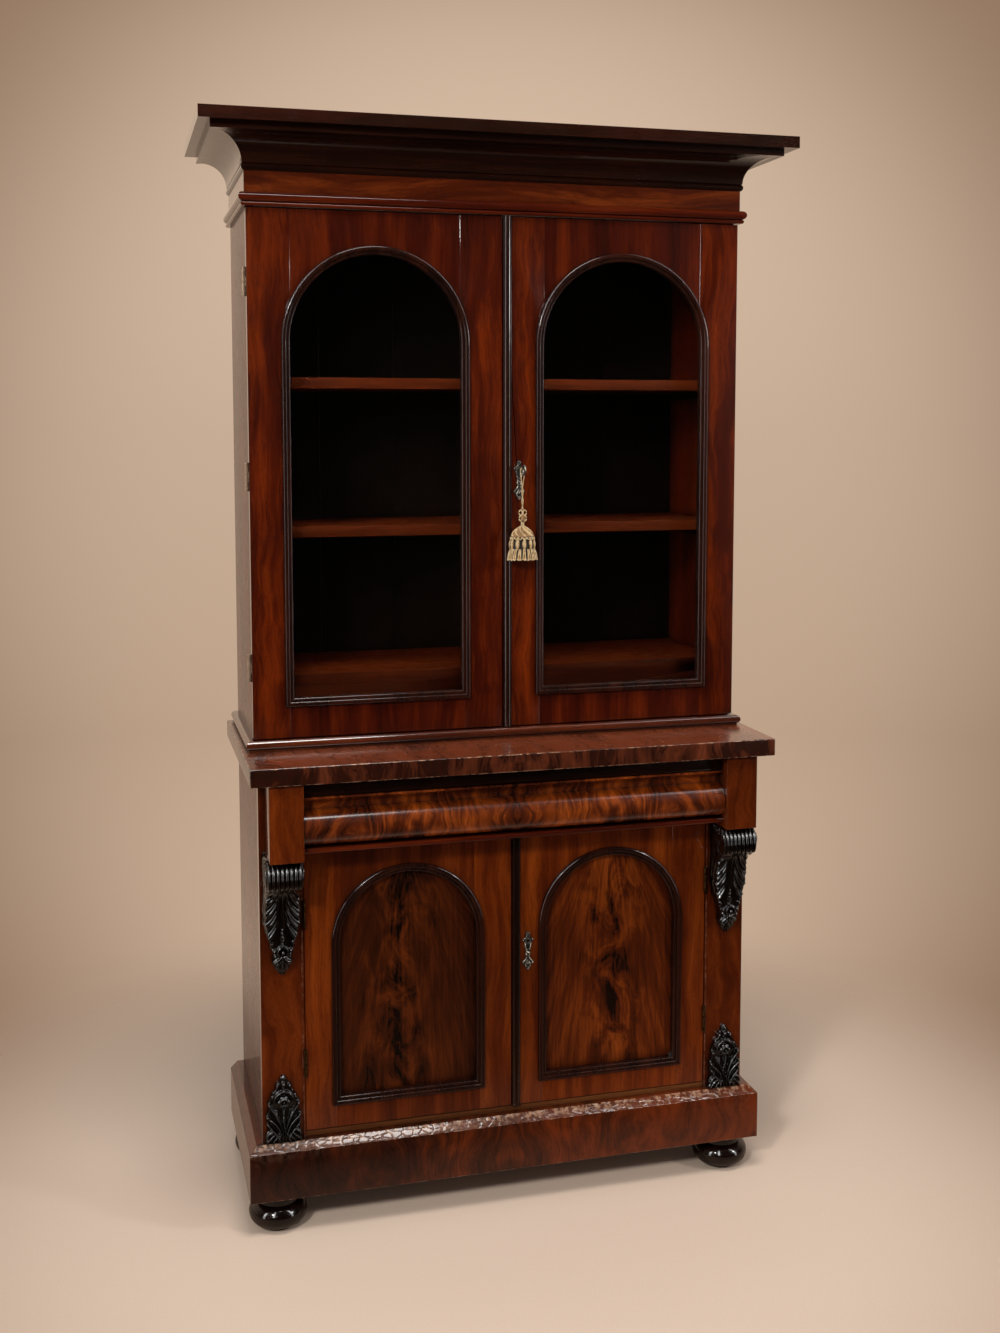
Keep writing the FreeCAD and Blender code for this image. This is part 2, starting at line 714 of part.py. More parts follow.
def knuckle_spans(middle):
    """Levels of the lower, middle and upper knuckle of a hinge."""
    third = s.hinge_length / 3
    low = middle - s.hinge_length / 2
    return [
        (low, low + third - s.knuckle_gap),
        (low + third, low + third * 2),
        (low + third * 2 + s.knuckle_gap, low + s.hinge_length),
    ]


def hinge_plate(label, hinge, side, span, grow=0):
    """A leaf let into the door's edge or the frame's. The knuckle sits beyond its near end."""
    return box(
        label,
        tuple(size + grow * sign for size, sign in zip(hinge[side]["x"], (-1, 1))),
        tuple(size + grow * sign for size, sign in zip(hinge[side]["depth"], (-1, 1))),
        (span[0] - grow, span[1] + grow),
    )


def hinge_leaf(label, hinge, side, middle):
    spans = knuckle_spans(middle)
    whole = (middle - s.hinge_length / 2, middle + s.hinge_length / 2)
    own = [spans[1]] if side == "door" else [spans[0], spans[2]]
    pieces = [hinge_plate(label + "_plate", hinge, side, whole)]
    for index, span in enumerate(own):
        pieces.append(box(f"{label}_tab{index}", hinge[side]["tab_x"], hinge[side]["tab_depth"], span))
        at = (hinge["x"], hinge["depth"])
        pieces.append(upright_cylinder(f"{label}_knuckle{index}", *at, span, hinge["radius"]))
    if side == "frame":
        pieces.append(upright_cylinder(label + "_pin", hinge["x"], hinge["depth"], whole, s.pin_radius))
        return fuse(label, pieces)
    bore = upright_cylinder(label + "_bore", hinge["x"], hinge["depth"], whole, s.pin_radius + s.pin_play)
    return cut(label, fuse(label + "_solid", pieces), [bore])


half_gap = s.door_gap / 2
door_back = s.upper_depth - s.door_thickness
upper_axis_x = half_case + s.knuckle_clearance + s.upper_knuckle_radius
upper_axis_depth = door_back - half_gap / 2
upper_leaf_x = (half_case - s.leaf_width, half_case)
upper_hinge = {
    "x": upper_axis_x,
    "depth": upper_axis_depth,
    "radius": s.upper_knuckle_radius,
    "door": {
        "x": upper_leaf_x,
        "depth": (door_back, door_back + s.leaf_thickness),
        "tab_x": (half_case, upper_axis_x),
        "tab_depth": (door_back, door_back + s.leaf_thickness),
    },
    "frame": {
        "x": upper_leaf_x,
        "depth": (upper_front - s.leaf_thickness, upper_front),
        "tab_x": (half_case, upper_axis_x),
        "tab_depth": (upper_front - s.leaf_thickness, upper_front),
    },
}
lower_edge = door_opening - s.drawer_gap
lower_axis_x = door_opening - s.drawer_gap / 2
lower_axis_depth = s.base_depth + s.knuckle_clearance + s.lower_knuckle_radius
lower_leaf_depth = (s.base_depth - s.leaf_width, s.base_depth)
lower_hinge = {
    "x": lower_axis_x,
    "depth": lower_axis_depth,
    "radius": s.lower_knuckle_radius,
    "door": {
        "x": (lower_edge - s.leaf_thickness, lower_edge),
        "depth": lower_leaf_depth,
        "tab_x": (lower_edge - s.leaf_thickness, lower_edge),
        "tab_depth": (s.base_depth, lower_axis_depth),
    },
    "frame": {
        "x": (door_opening, door_opening + s.leaf_thickness),
        "depth": lower_leaf_depth,
        "tab_x": (door_opening, door_opening + s.leaf_thickness),
        "tab_depth": (s.base_depth, lower_axis_depth),
    },
}

upper_door_low = slab_top + s.waist_moulding_height + s.upper_door_rise
upper_door_high = upper_top - s.door_gap * 2
lower_door_low = base_floor + s.lower_door_rise
lower_door_high = drawer_rail_bottom - s.door_gap
upper_hinge_levels = hinge_levels(upper_door_low, upper_door_high, int(s.upper_hinges.value))
lower_hinge_levels = hinge_levels(lower_door_low, lower_door_high, int(s.lower_hinges.value))


def hinge_mortises(label, hinge, side, levels):
    spans = [(middle - s.hinge_length / 2, middle + s.hinge_length / 2) for middle in levels]
    return [hinge_plate(f"{label}_{i}", hinge, side, span, s.pin_play) for i, span in enumerate(spans)]


frame_leaves = [
    hinge_leaf(f"upper_frame_leaf_{i}", upper_hinge, "frame", middle)
    for i, middle in enumerate(upper_hinge_levels)
] + [
    hinge_leaf(f"lower_frame_leaf_{i}", lower_hinge, "frame", middle)
    for i, middle in enumerate(lower_hinge_levels)
]
node(group("frame_hinge_leaves", frame_leaves + [
    mirrored(leaf.Name + "_left", leaf) for leaf in frame_leaves
]))

right_pilaster = cut(
    "right_pilaster",
    pilaster(),
    hinge_mortises("pilaster_mortise", lower_hinge, "frame", lower_hinge_levels),
)
node(pair("pilasters", right_pilaster))

block_front = s.base_depth + s.block_projection
bracket_block = box(
    "bracket_block", (block_inner, block_outer), (s.base_depth, block_front), (block_bottom, slab_bottom)
)
node(pair("bracket_blocks", bracket_block))


def symmetrical(middle, foot, width, height, shape):
    """An outline from its right half, given upwards as (share of the width, share of the height)."""
    right = [(middle + width * out, foot + height * up) for out, up in shape]
    left = [(middle - width * out, foot + height * up) for out, up in reversed(shape)]
    return right + left


CORBEL_LEAF = ((0.05, 0), (0.2, 0.14), (0.31, 0.33), (0.48, 0.5), (0.42, 0.74), (0.5, 0.8), (0.5, 1))
CORBEL_TIP = 0.13  # share of the projection that the leaf's tip stands forward
CORBEL_SHIN = (0.3, 0.28)  # share of the projection and of the height, where the leaf steepens
CORBEL_THROAT = (0.42, 2.5)  # share of the projection, and scroll radii below the top


def corbel():
    """A scrolled bracket: its side view, front view and plan, each drawn out and all three intersected."""
    tip = block_bottom - s.corbel_height
    face = s.base_depth
    front = face + s.corbel_projection
    roll = s.corbel_scroll_radius
    roll_up, roll_depth = block_bottom - roll, front - roll
    wide, narrow = s.corbel_back_width / 2, s.corbel_front_width / 2
    side = new_body("corbel_side_view")
    pad(side, "YZ_Plane", (carving_middle - wide, carving_middle + wide), [
        (forward(face), block_bottom),
        (forward(face), tip),
        (forward(face + s.corbel_projection * CORBEL_TIP), tip),
        (forward(face + s.corbel_projection * CORBEL_SHIN[0]), tip + s.corbel_height * CORBEL_SHIN[1]),
        (forward(face + s.corbel_projection * CORBEL_THROAT[0]), block_bottom - roll * CORBEL_THROAT[1]),
        (forward(roll_depth), roll_up - roll, arc(forward(roll_depth), roll_up, -1)),
        (forward(roll_depth), block_bottom),
    ])
    front_view = new_body("corbel_front_view")
    leaf = symmetrical(carving_middle, tip, s.corbel_back_width, s.corbel_height, CORBEL_LEAF)
    pad(front_view, "XZ_Plane", depths(face, front + roll), leaf)
    plan = new_body("corbel_plan")
    pad(plan, "XY_Plane", (tip, block_bottom), [
        (carving_middle - wide, forward(face)),
        (carving_middle - narrow, forward(front)),
        (carving_middle + narrow, forward(front)),
        (carving_middle + wide, forward(face)),
    ])
    common = doc.addObject("Part::MultiCommon", "corbel")
    common.Label = "corbel"
    common.Shapes = [side, front_view, plan]
    return common


node(pair("corbels", corbel()))


CARVING_LEAF = ((0.5, 0), (0.5, 0.38), (0.38, 0.52), (0.3, 0.66), (0.13, 0.82), (0.04, 1))


def base_carving():
    """The applied leaf ornament at the foot of a pilaster, with its round boss."""
    body = new_body("base_carving")
    leaf = symmetrical(carving_middle, plinth_top, s.carving_width, s.carving_height, CARVING_LEAF)
    pad(body, "XZ_Plane", depths(s.base_depth, s.base_depth + s.carving_thickness), leaf)
    sketch = sketch_in(body, "XZ_Plane", s.base_depth - back_plane)
    circle(sketch, carving_middle, plinth_top + s.rosette_height, s.rosette_radius)
    boss = body.newObject("PartDesign::Pad", "rosette")
    boss.Profile = sketch
    bind(boss, "Length", s.rosette_projection)
    return body


node(pair("base_carvings", base_carving()))

# Drawer rails, runners and drawer.

node(box(
    "rail_under_slab",
    (-block_inner, block_inner),
    (rail_depth - s.rail_thickness, rail_depth),
    (rail_bottom, slab_bottom),
))


NOSE_ROUNDING = 0.45  # of the thickness, so that the nose is nearly a half-round


def drawer_rail():
    """The rail under the drawer: a tongue between the pilasters and a rounded nose between the blocks."""
    body = new_body("drawer_rail")
    span = (drawer_rail_bottom, drawer_rail_top)
    pad(body, "XY_Plane", span, [
        (-door_opening, forward(s.base_depth - s.drawer_rail_tongue)),
        (door_opening, forward(s.base_depth - s.drawer_rail_tongue)),
        (door_opening, forward(s.base_depth)),
        (block_inner, forward(s.base_depth)),
        (block_inner, forward(drawer_rail_depth)),
        (-block_inner, forward(drawer_rail_depth)),
        (-block_inner, forward(s.base_depth)),
        (-door_opening, forward(s.base_depth)),
    ])
    nose = forward(drawer_rail_depth).value

    def along_nose(edge):
        return lies_at(edge, "Y", nose) and any(lies_at(edge, "Z", level.value) for level in span)

    fillet(body, s.drawer_rail_thickness * NOSE_ROUNDING, along_nose)
    return body


node(drawer_rail())


def runner():
    """Carries a drawer side and guides it."""
    body = new_body("drawer_runner")
    guide_top = drawer_rail_top + s.runner_guide_height
    pad(body, "XZ_Plane", depths(s.back_thickness, s.base_depth - s.drawer_rail_tongue), [
        (door_opening - s.runner_width, drawer_rail_bottom),
        (half_inside, drawer_rail_bottom),
        (half_inside, guide_top),
        (door_opening, guide_top),
        (door_opening, drawer_rail_top),
        (door_opening - s.runner_width, drawer_rail_top),
    ])
    return body


node(pair("drawer_runners", runner()))


def drawer_front():
    """The swelling frieze drawer front: a bolster with a hollow above it."""
    body = new_body("drawer_front")
    back = s.base_depth + s.door_gap
    foot, roll = bolster_depth, s.drawer_bolster_radius
    hollow_foot = bolster_middle + roll + s.cock_bead_radius
    hollow_top = hollow_foot + s.drawer_cove_rise
    run, rise = s.drawer_cove_run, s.drawer_cove_rise
    hollow = (run * run + rise * rise) / (run * 2)
    pad(body, "YZ_Plane", (-drawer_half, drawer_half), [
        (forward(back), drawer_bottom),
        (forward(back), drawer_top),
        (forward(foot + run), drawer_top),
        (forward(foot + run), hollow_top, arc(forward(foot + hollow), hollow_foot, -1)),
        (forward(foot), hollow_foot),
        (forward(foot), bolster_middle + roll, arc(forward(foot), bolster_middle, 1)),
        (forward(foot), drawer_bottom),
    ])
    return body


node(drawer_front())
drawer_low = drawer_rail_top + s.fit_gap
drawer_sides_top = drawer_low + s.drawer_side_height
drawer_back_depth = s.drawer_back_setback
drawer_front_back = s.base_depth + s.door_gap
drawer_inside = drawer_box_half - s.drawer_side_thickness
drawer_floor = drawer_low + s.drawer_bottom_rise
drawer_side = box(
    "drawer_side",
    (drawer_inside, drawer_box_half),
    (drawer_back_depth, drawer_front_back),
    (drawer_low, drawer_sides_top),
)
drawer_back = box(
    "drawer_back",
    (-drawer_inside, drawer_inside),
    (drawer_back_depth, drawer_back_depth + s.drawer_side_thickness),
    (drawer_floor + s.drawer_bottom_thickness, drawer_sides_top),
)
node(group("drawer_sides_and_back", [drawer_side, mirrored("drawer_side_left", drawer_side), drawer_back]))
node(box(
    "drawer_bottom",
    (-drawer_inside, drawer_inside),
    (drawer_back_depth, drawer_front_back),
    (drawer_floor, drawer_floor + s.drawer_bottom_thickness),
))


# Waist.


def waist_slab():
    body = new_body("waist_slab")
    half = half_case + s.slab_overhang
    pad(body, "XY_Plane", (slab_bottom, slab_top), [
        (-half, forward(as_size(0))),
        (-half, forward(slab_depth)),
        (half, forward(slab_depth)),
        (half, forward(as_size(0))),
    ])
    front, side = forward(slab_depth).value, half.value

    def outer(edge):
        return lies_at(edge, "Y", front) or lies_at(edge, "X", side) or lies_at(edge, "X", -side)

    back = forward(as_size(0)).value
    fillet(body, s.slab_arris, lambda edge: outer(edge) and not lies_at(edge, "Y", back))
    return body


node(waist_slab())

nose_radius = (s.waist_moulding_height - s.waist_moulding_fillet) / 2
nose_middle = slab_top + s.waist_moulding_fillet + nose_radius
nose_out = s.waist_moulding_projection - nose_radius
step_out = s.waist_moulding_projection - s.waist_moulding_fillet * 2


def waist_profile(inmost):
    return [
        (inmost, slab_top),
        (step_out, slab_top),
        (step_out, slab_top + s.waist_moulding_fillet),
        (nose_out, slab_top + s.waist_moulding_fillet, arc(nose_out, nose_middle, 1)),
        (nose_out, slab_top + s.waist_moulding_height),
        (inmost, slab_top + s.waist_moulding_height),
    ]


front_inset = upper_front - s.upper_depth
waist_front = front_run(
    "waist_moulding_front", half_case, s.upper_depth,
    waist_profile(front_inset), (front_inset, s.waist_moulding_projection),
)
waist_side = side_run(
    "waist_moulding_side", half_case, s.upper_depth,
    waist_profile(as_size(0)), (as_size(0), s.waist_moulding_projection),
)
node(group("waist_moulding", [waist_front, waist_side, mirrored("waist_moulding_side_left", waist_side)]))

# Upper case.

upper_side_board = box(
    "upper_side_board", (half_inside, half_case), (as_size(0), upper_front), (slab_top, upper_top)
)
upper_side = cut(
    "upper_side",
    upper_side_board,
    hinge_mortises("upper_side_mortise", upper_hinge, "frame", upper_hinge_levels),
)
node(pair("upper_sides", upper_side))
node(box(
    "upper_top_board",
    (-half_inside, half_inside),
    (s.back_thickness, upper_front),
    (upper_top - s.upper_top_thickness, upper_top),
))
node(boarded_back("upper_back_boards", slab_top, upper_top))
floor_front = s.upper_depth - s.upper_floor_setback
floor_back = floor_front - s.side_thickness
book_floor = box(
    "book_floor",
    (-half_inside, half_inside),
    (s.back_thickness, floor_front),
    (upper_floor - s.shelf_thickness, upper_floor),
)
fascia = box(
    "book_floor_fascia",
    (-half_inside, half_inside),
    (floor_back, floor_front),
    (slab_top, upper_floor - s.shelf_thickness),
)
node(group("upper_floor_and_fascia", [book_floor, fascia]))
shelf_front = s.upper_depth - s.shelf_setback
lower_shelf = shelf("lower_bookshelf", lower_shelf_top, shelf_front)
upper_shelf = shelf("upper_bookshelf", upper_shelf_top, shelf_front)
node(group("bookshelves", [lower_shelf, upper_shelf]))
bearers = [
    bearer("cupboard_bearer", cupboard_shelf_top, cupboard_shelf_front - s.cupboard_shelf_setback),
    bearer("lower_bearer", lower_shelf_top, shelf_front - s.cupboard_shelf_setback),
    bearer("upper_bearer", upper_shelf_top, shelf_front - s.cupboard_shelf_setback),
]
node(group("shelf_bearers", bearers + [mirrored(item.Name + "_left", item) for item in bearers]))

# Cornice.

frieze_profile = [
    (-s.frieze_thickness, upper_top),
    (as_size(0), upper_top),
    (as_size(0), cornice_top),
    (-s.frieze_thickness, cornice_top),
]
frieze_reach = (-s.frieze_thickness, as_size(0))
frieze_side = side_run("frieze_side", half_frieze, frieze_depth, frieze_profile, frieze_reach)
node(group("frieze", [
    front_run("frieze_front", half_frieze, frieze_depth, frieze_profile, frieze_reach),
    frieze_side,
    mirrored("frieze_side_left", frieze_side),
]))

small, large = s.astragal_small_radius, s.astragal_large_radius
astragal_step = upper_top + small * 2
astragal_profile = [
    (as_size(0), upper_top),
    (s.astragal_fillet, upper_top, arc(s.astragal_fillet, upper_top + small, 1)),
    (s.astragal_fillet, astragal_step, arc(s.astragal_fillet, astragal_step + large, 1)),
    (s.astragal_fillet, astragal_step + large * 2),
    (as_size(0), astragal_step + large * 2),
]
astragal_reach = (as_size(0), s.astragal_fillet + large)
astragal_side = side_run("astragal_side", half_frieze, frieze_depth, astragal_profile, astragal_reach)
node(group("astragal", [
    front_run("astragal_front", half_frieze, frieze_depth, astragal_profile, astragal_reach),
    astragal_side,
    mirrored("astragal_side_left", astragal_side),
]))

cove_radius = (s.cove_run * s.cove_run + s.cove_rise * s.cove_rise) / (s.cove_run * 2)
cove_out = s.cove_step + s.cove_run
cornice_bead_middle = s.cornice_bead_ground - s.cornice_bead_flatness
cove_profile = [
    (as_size(0), frieze_top),
    (s.cornice_bead_ground, frieze_top, arc(cornice_bead_middle, frieze_top + s.cornice_bead_height / 2, 1)),
    (s.cornice_bead_ground, cove_foot),
    (s.cove_step, cove_foot, arc(s.cove_step + cove_radius, cove_foot, -1)),
    (cove_out, cove_top),
    (cove_out + s.cove_lip, cove_top),
    (cove_out + s.cove_lip, cornice_top),
    (as_size(0), cornice_top),
]
cove_reach = (as_size(0), cove_out + s.cove_lip)
cove_side = side_run("cove_side", half_frieze, frieze_depth, cove_profile, cove_reach)
node(group("cove", [
    front_run("cove_front", half_frieze, frieze_depth, cove_profile, cove_reach),
    cove_side,
    mirrored("cove_side_left", cove_side),
]))
top_out = cove_reach[1] + s.cornice_top_overhang
node(box(
    "cornice_top_board",
    (-half_frieze - top_out, half_frieze + top_out),
    (as_size(0), frieze_depth + top_out),
    (cornice_top, cornice_top + s.cornice_top_thickness),
))


# Doors.


class Door:
    """The sizes of a right-hand door and of the arched opening in it."""

    def __init__(self, name, edge, low, high, face, hinge_stile, meeting_stile, bottom_rail, crown, proud):
        self.name = name
        self.left = s.door_gap
        self.right = edge
        self.low, self.high = low, high
        self.face = face
        self.back = face - s.door_thickness
        self.middle = (self.left + meeting_stile + edge - hinge_stile) / 2
        self.outer = (edge - hinge_stile - self.left - meeting_stile) / 2
        self.sight = self.outer - s.bead_outer_width
        self.inner = self.sight - s.bead_inner_width
        self.foot = low + bottom_rail
        self.spring = high - crown - self.outer
        self.proud = proud

    def arch(self, half):
        """An arched outline of a given half width, round the pane."""
        foot = self.foot + self.outer - half
        return [
            (self.middle - half, foot),
            (self.middle + half, foot),
            (self.middle + half, self.spring, arc(self.middle, self.spring, 1)),
            (self.middle - half, self.spring),
        ]


def stile(door, label, outer_edge, inner_edge, turn):
    """An upright whose inner edge widens into the foot of the arch."""
    half = door.sight + s.fit_gap
    rise = s.rail_horn
    horn_x = root(half * half - rise * rise)
    horn = door.middle + horn_x * turn
    body = new_body(label)
    corners = [
        (inner_edge, door.low),
        (outer_edge, door.low),
        (outer_edge, door.high),
        (horn, door.high),
        (horn, door.spring + rise, arc(door.middle, door.spring, -turn)),
        (inner_edge, door.spring),
    ]
    pad(body, "XZ_Plane", depths(door.back, door.face), corners)
    return body


def top_rail(door, label):
    half = door.sight + s.fit_gap
    rise = s.rail_horn
    horn_x = root(half * half - rise * rise)
    body = new_body(label)
    pad(body, "XZ_Plane", depths(door.back, door.face), [
        (door.middle - horn_x, door.spring + rise, arc(door.middle, door.spring, -1)),
        (door.middle + horn_x, door.spring + rise),
        (door.middle + horn_x, door.high),
        (door.middle - horn_x, door.high),
    ])
    return body


def bottom_rail(door, label):
    half = door.sight + s.fit_gap
    sight_foot = door.foot + s.bead_outer_width - s.fit_gap
    span = (door.middle - half, door.middle + half)
    return box(label, span, (door.back, door.face), (door.low, sight_foot))


OUTER_ROUNDING = 0.9  # of the step between the beads
INNER_ROUNDING = 0.45  # of the inner bead's width


def door_moulding(door, label):
    """Two beads round the pane: the outer on the face of the frame, the inner inside it and lower."""
    body = new_body(label)
    front = door.face + door.proud
    inner_front = front - s.bead_step
    pad(body, "XZ_Plane", depths(door.face, front), door.arch(door.outer), door.arch(door.sight))
    inner_back = door.face - s.moulding_depth
    pad(body, "XZ_Plane", depths(inner_back, inner_front), door.arch(door.sight), door.arch(door.inner))
    front_y, inner_y = forward(front).value, forward(inner_front).value
    fillet(body, s.bead_step * OUTER_ROUNDING, lambda edge: lies_at(edge, "Y", front_y))
    limit = (door.inner.value + door.sight.value) / 2

    def inner_edge(edge):
        """The pane-side edge of the inner bead."""
        box_of = edge.BoundBox
        low, high = door.middle.value - limit, door.middle.value + limit
        return lies_at(edge, "Y", inner_y) and box_of.XMin > low and box_of.XMax < high

    fillet(body, s.bead_inner_width * INNER_ROUNDING, inner_edge)
    return body


def glazing(door, label, thickness):
    """The glass or panel that lies behind the moulding, inside the frame."""
    body = new_body(label)
    front = door.face - s.moulding_depth
    pad(body, "XZ_Plane", depths(front - thickness, front), door.arch(door.sight))
    return body


def centre_bead(label, door):
    """Half-round bead on the meeting edge."""
    body = new_body(label)
    radius = s.centre_bead_width / 2
    middle = door.left + radius
    face = forward(door.face)
    pad(body, "XY_Plane", (door.low, door.high), [
        (door.left, face, arc(middle, face, 1)),
        (door.left + s.centre_bead_width, face),
    ])
    return body


def lock_span(level):
    return (level + s.lock_key_drop - s.lock_height, level + s.lock_key_drop)


def bolt_box(label, door, level, grow, shift):
    """The bolt, or the space round it, moved towards the other door by shift."""
    top = level + s.lock_key_drop - s.lock_wall - s.fit_gap
    back = door.back + s.lock_wall + s.fit_gap * 2
    return box(
        label,
        (door.left - shift - grow, door.left - shift + s.bolt_length + grow),
        (back - grow, back + s.bolt_thickness + grow),
        (top - s.bolt_height - grow, top + grow),
    )


def lock_case(label, door, level):
    """A sheet-brass box let into the stile from behind, with a slot for its bolt and a hole for the key."""
    low, high = lock_span(level)
    wall = s.lock_wall
    outer = box(
        label + "_outer",
        (door.left, door.left + s.lock_width),
        (door.back, door.back + s.lock_thickness),
        (low, high),
    )
    hollow = box(
        label + "_hollow",
        (door.left + wall, door.left + s.lock_width - wall),
        (door.back + wall, door.back + s.lock_thickness - wall),
        (low + wall, high - wall),
    )
    slot = bolt_box(label + "_slot", door, level, s.fit_gap, s.bolt_throw)
    hole = level_cylinder(
        label + "_key_hole",
        door.left + s.keyhole_inset,
        (door.back + wall, door.face),
        level,
        s.key_shank_radius + s.pin_play,
    )
    return cut(label, outer, [hollow, slot, hole])


def lock_mortise(label, door, level):
    low, high = lock_span(level)
    play = s.pin_play
    return box(
        label,
        (door.left - s.door_gap, door.left + s.lock_width + play),
        (door.back - play, door.back + s.lock_thickness + play),
        (low - play, high + play),
    )


ESCUTCHEON_SHAPE = (
    (0.08, 0), (0.38, 0.1), (0.5, 0.2), (0.35, 0.34),
    (0.28, 0.5),
    (0.35, 0.66), (0.5, 0.8), (0.38, 0.9), (0.08, 1),
)


def escutcheon(label, door, level):
    """A waisted plate with a keyhole, longer below the hole than above it."""
    body = new_body(label)
    x = door.left + s.keyhole_inset
    foot = level - s.escutcheon_below
    tall = s.escutcheon_above + s.escutcheon_below
    sketch = sketch_in(body, "XZ_Plane", door.face - back_plane)
    draw(sketch, symmetrical(x, foot, s.escutcheon_width, tall, ESCUTCHEON_SHAPE))
    circle(sketch, x, level, s.keyhole_radius)
    feature = body.newObject("PartDesign::Pad", label + "_plate")
    feature.Profile = sketch
    bind(feature, "Length", s.escutcheon_thickness)
    return body


def build_doors(door, hinge, levels, fill, fill_thickness, keyhole_level, place_name):
    """Both doors of a storey. The right one has the lock and the bead where the doors meet."""
    right, left = f"{place_name}_right_door", f"{place_name}_left_door"
    half = door.sight + s.fit_gap
    hinge_stile = cut(
        right + "_hinge_stile",
        stile(door, right + "_hinge_stile_board", door.right, door.middle + half, 1),
        hinge_mortises(right + "_mortise", hinge, "door", levels),
    )
    meeting_board = stile(door, right + "_meeting_board", door.left, door.middle - half, -1)
    key_passage = level_cylinder(
        right + "_key_passage",
        door.left + s.keyhole_inset,
        (door.back + s.lock_wall, door.face + s.escutcheon_thickness),
        keyhole_level,
        s.keyhole_radius,
    )
    mortise = lock_mortise(right + "_lock_mortise", door, keyhole_level)
    meeting_stile = cut(right + "_meeting_stile", meeting_board, [mortise, key_passage])
    keeper = bolt_box(right + "_keeper", door, keyhole_level, s.bolt_play, s.bolt_length - s.bolt_throw)
    plain_board = stile(door, left + "_stile_board", door.left, door.middle - half, -1)
    left_meeting_stile = cut(
        left + "_meeting_stile",
        mirrored(left + "_meeting_board", plain_board),
        [mirrored(left + "_keeper", keeper)],
    )
    node(group(right + "_stiles", [hinge_stile, meeting_stile]))
    node(group(left + "_stiles", [mirrored(left + "_hinge_stile", hinge_stile), left_meeting_stile]))
    rails = [top_rail(door, right + "_top_rail"), bottom_rail(door, right + "_bottom_rail")]
    node(group(right + "_rails", rails))
    node(group(left + "_rails", [mirrored(left + rail.Name, rail) for rail in rails]))
    moulding = node(door_moulding(door, right + "_moulding"))
    node(mirrored(left + "_moulding", moulding))
    pane = node(glazing(door, f"{right}_{fill}", fill_thickness))
    node(mirrored(f"{left}_{fill}", pane))
    leaves = [hinge_leaf(f"{right}_leaf_{i}", hinge, "door", middle) for i, middle in enumerate(levels)]
    node(group(right + "_hinge_leaves", leaves))
    node(group(left + "_hinge_leaves", [mirrored(leaf.Name + "_left", leaf) for leaf in leaves]))
    node(centre_bead(place_name + "_centre_bead", door))
    node(escutcheon(place_name + "_escutcheon", door, keyhole_level))


upper_door = Door(
    "upper", half_case, upper_door_low, upper_door_high, s.upper_depth,
    s.upper_hinge_stile, s.upper_meeting_stile, s.upper_bottom_rail, s.upper_crown, s.upper_moulding_proud,
)
lower_door = Door(
    "lower", lower_edge, lower_door_low, lower_door_high, s.base_depth,
    s.lower_hinge_stile, s.lower_meeting_stile, s.lower_bottom_rail, s.lower_crown, s.lower_moulding_proud,
)
build_doors(upper_door, upper_hinge, upper_hinge_levels, "glass", s.glass_thickness, upper_keyhole, "upper")
build_doors(lower_door, lower_hinge, lower_hinge_levels, "panel", s.panel_thickness, lower_keyhole, "lower")

# Locks, key and tassel.

node(lock_case("upper_lock", upper_door, upper_keyhole))
node(bolt_box("upper_lock_bolt", upper_door, upper_keyhole, as_size(0), as_size(0)))
node(group("lower_lock", [
    lock_case("lower_lock_case", lower_door, lower_keyhole),
    bolt_box("lower_lock_bolt", lower_door, lower_keyhole, as_size(0), as_size(0)),
]))

key_x = upper_door.left + s.keyhole_inset
key_z = upper_keyhole
key_tip = upper_door.back + s.lock_wall + s.fit_gap
cord_depth = s.upper_depth + s.key_cord_standoff
bow_near = cord_depth + s.cord_diameter / 2 + s.fit_gap
bow_middle = bow_near + s.key_bow_radius + s.key_bow_wire


def key():
    """Shank, bit, collar and ring bow. The bow stands upright, edge on to the door."""
    shank_span = (key_tip, bow_near + s.key_bow_wire)
    shank = level_cylinder("key_shank", key_x, shank_span, key_z, s.key_shank_radius)
    collar_front = cord_depth - s.cord_diameter / 2 - s.fit_gap
    collar = level_cylinder(
        "key_collar", key_x, (collar_front - s.key_collar_length, collar_front), key_z, s.key_collar_radius
    )
    half = s.key_bit_thickness / 2
    bit = box(
        "key_bit",
        (key_x - half, key_x + half),
        (key_tip, key_tip + s.key_bit_length),
        (key_z - s.key_bit_reach, key_z),
    )
    bow = doc.addObject("Part::Torus", "key_bow")
    bow.Label = "key_bow"
    bind(bow, "Radius1", s.key_bow_radius)
    bind(bow, "Radius2", s.key_bow_wire)
    bow.Placement = FreeCAD.Placement(Vector(), FreeCAD.Rotation(Vector(0, 1, 0), 90))
    place(bow, key_x, forward(bow_middle), key_z)
    return fuse("key", [shank, collar, bit, bow])


node(key())


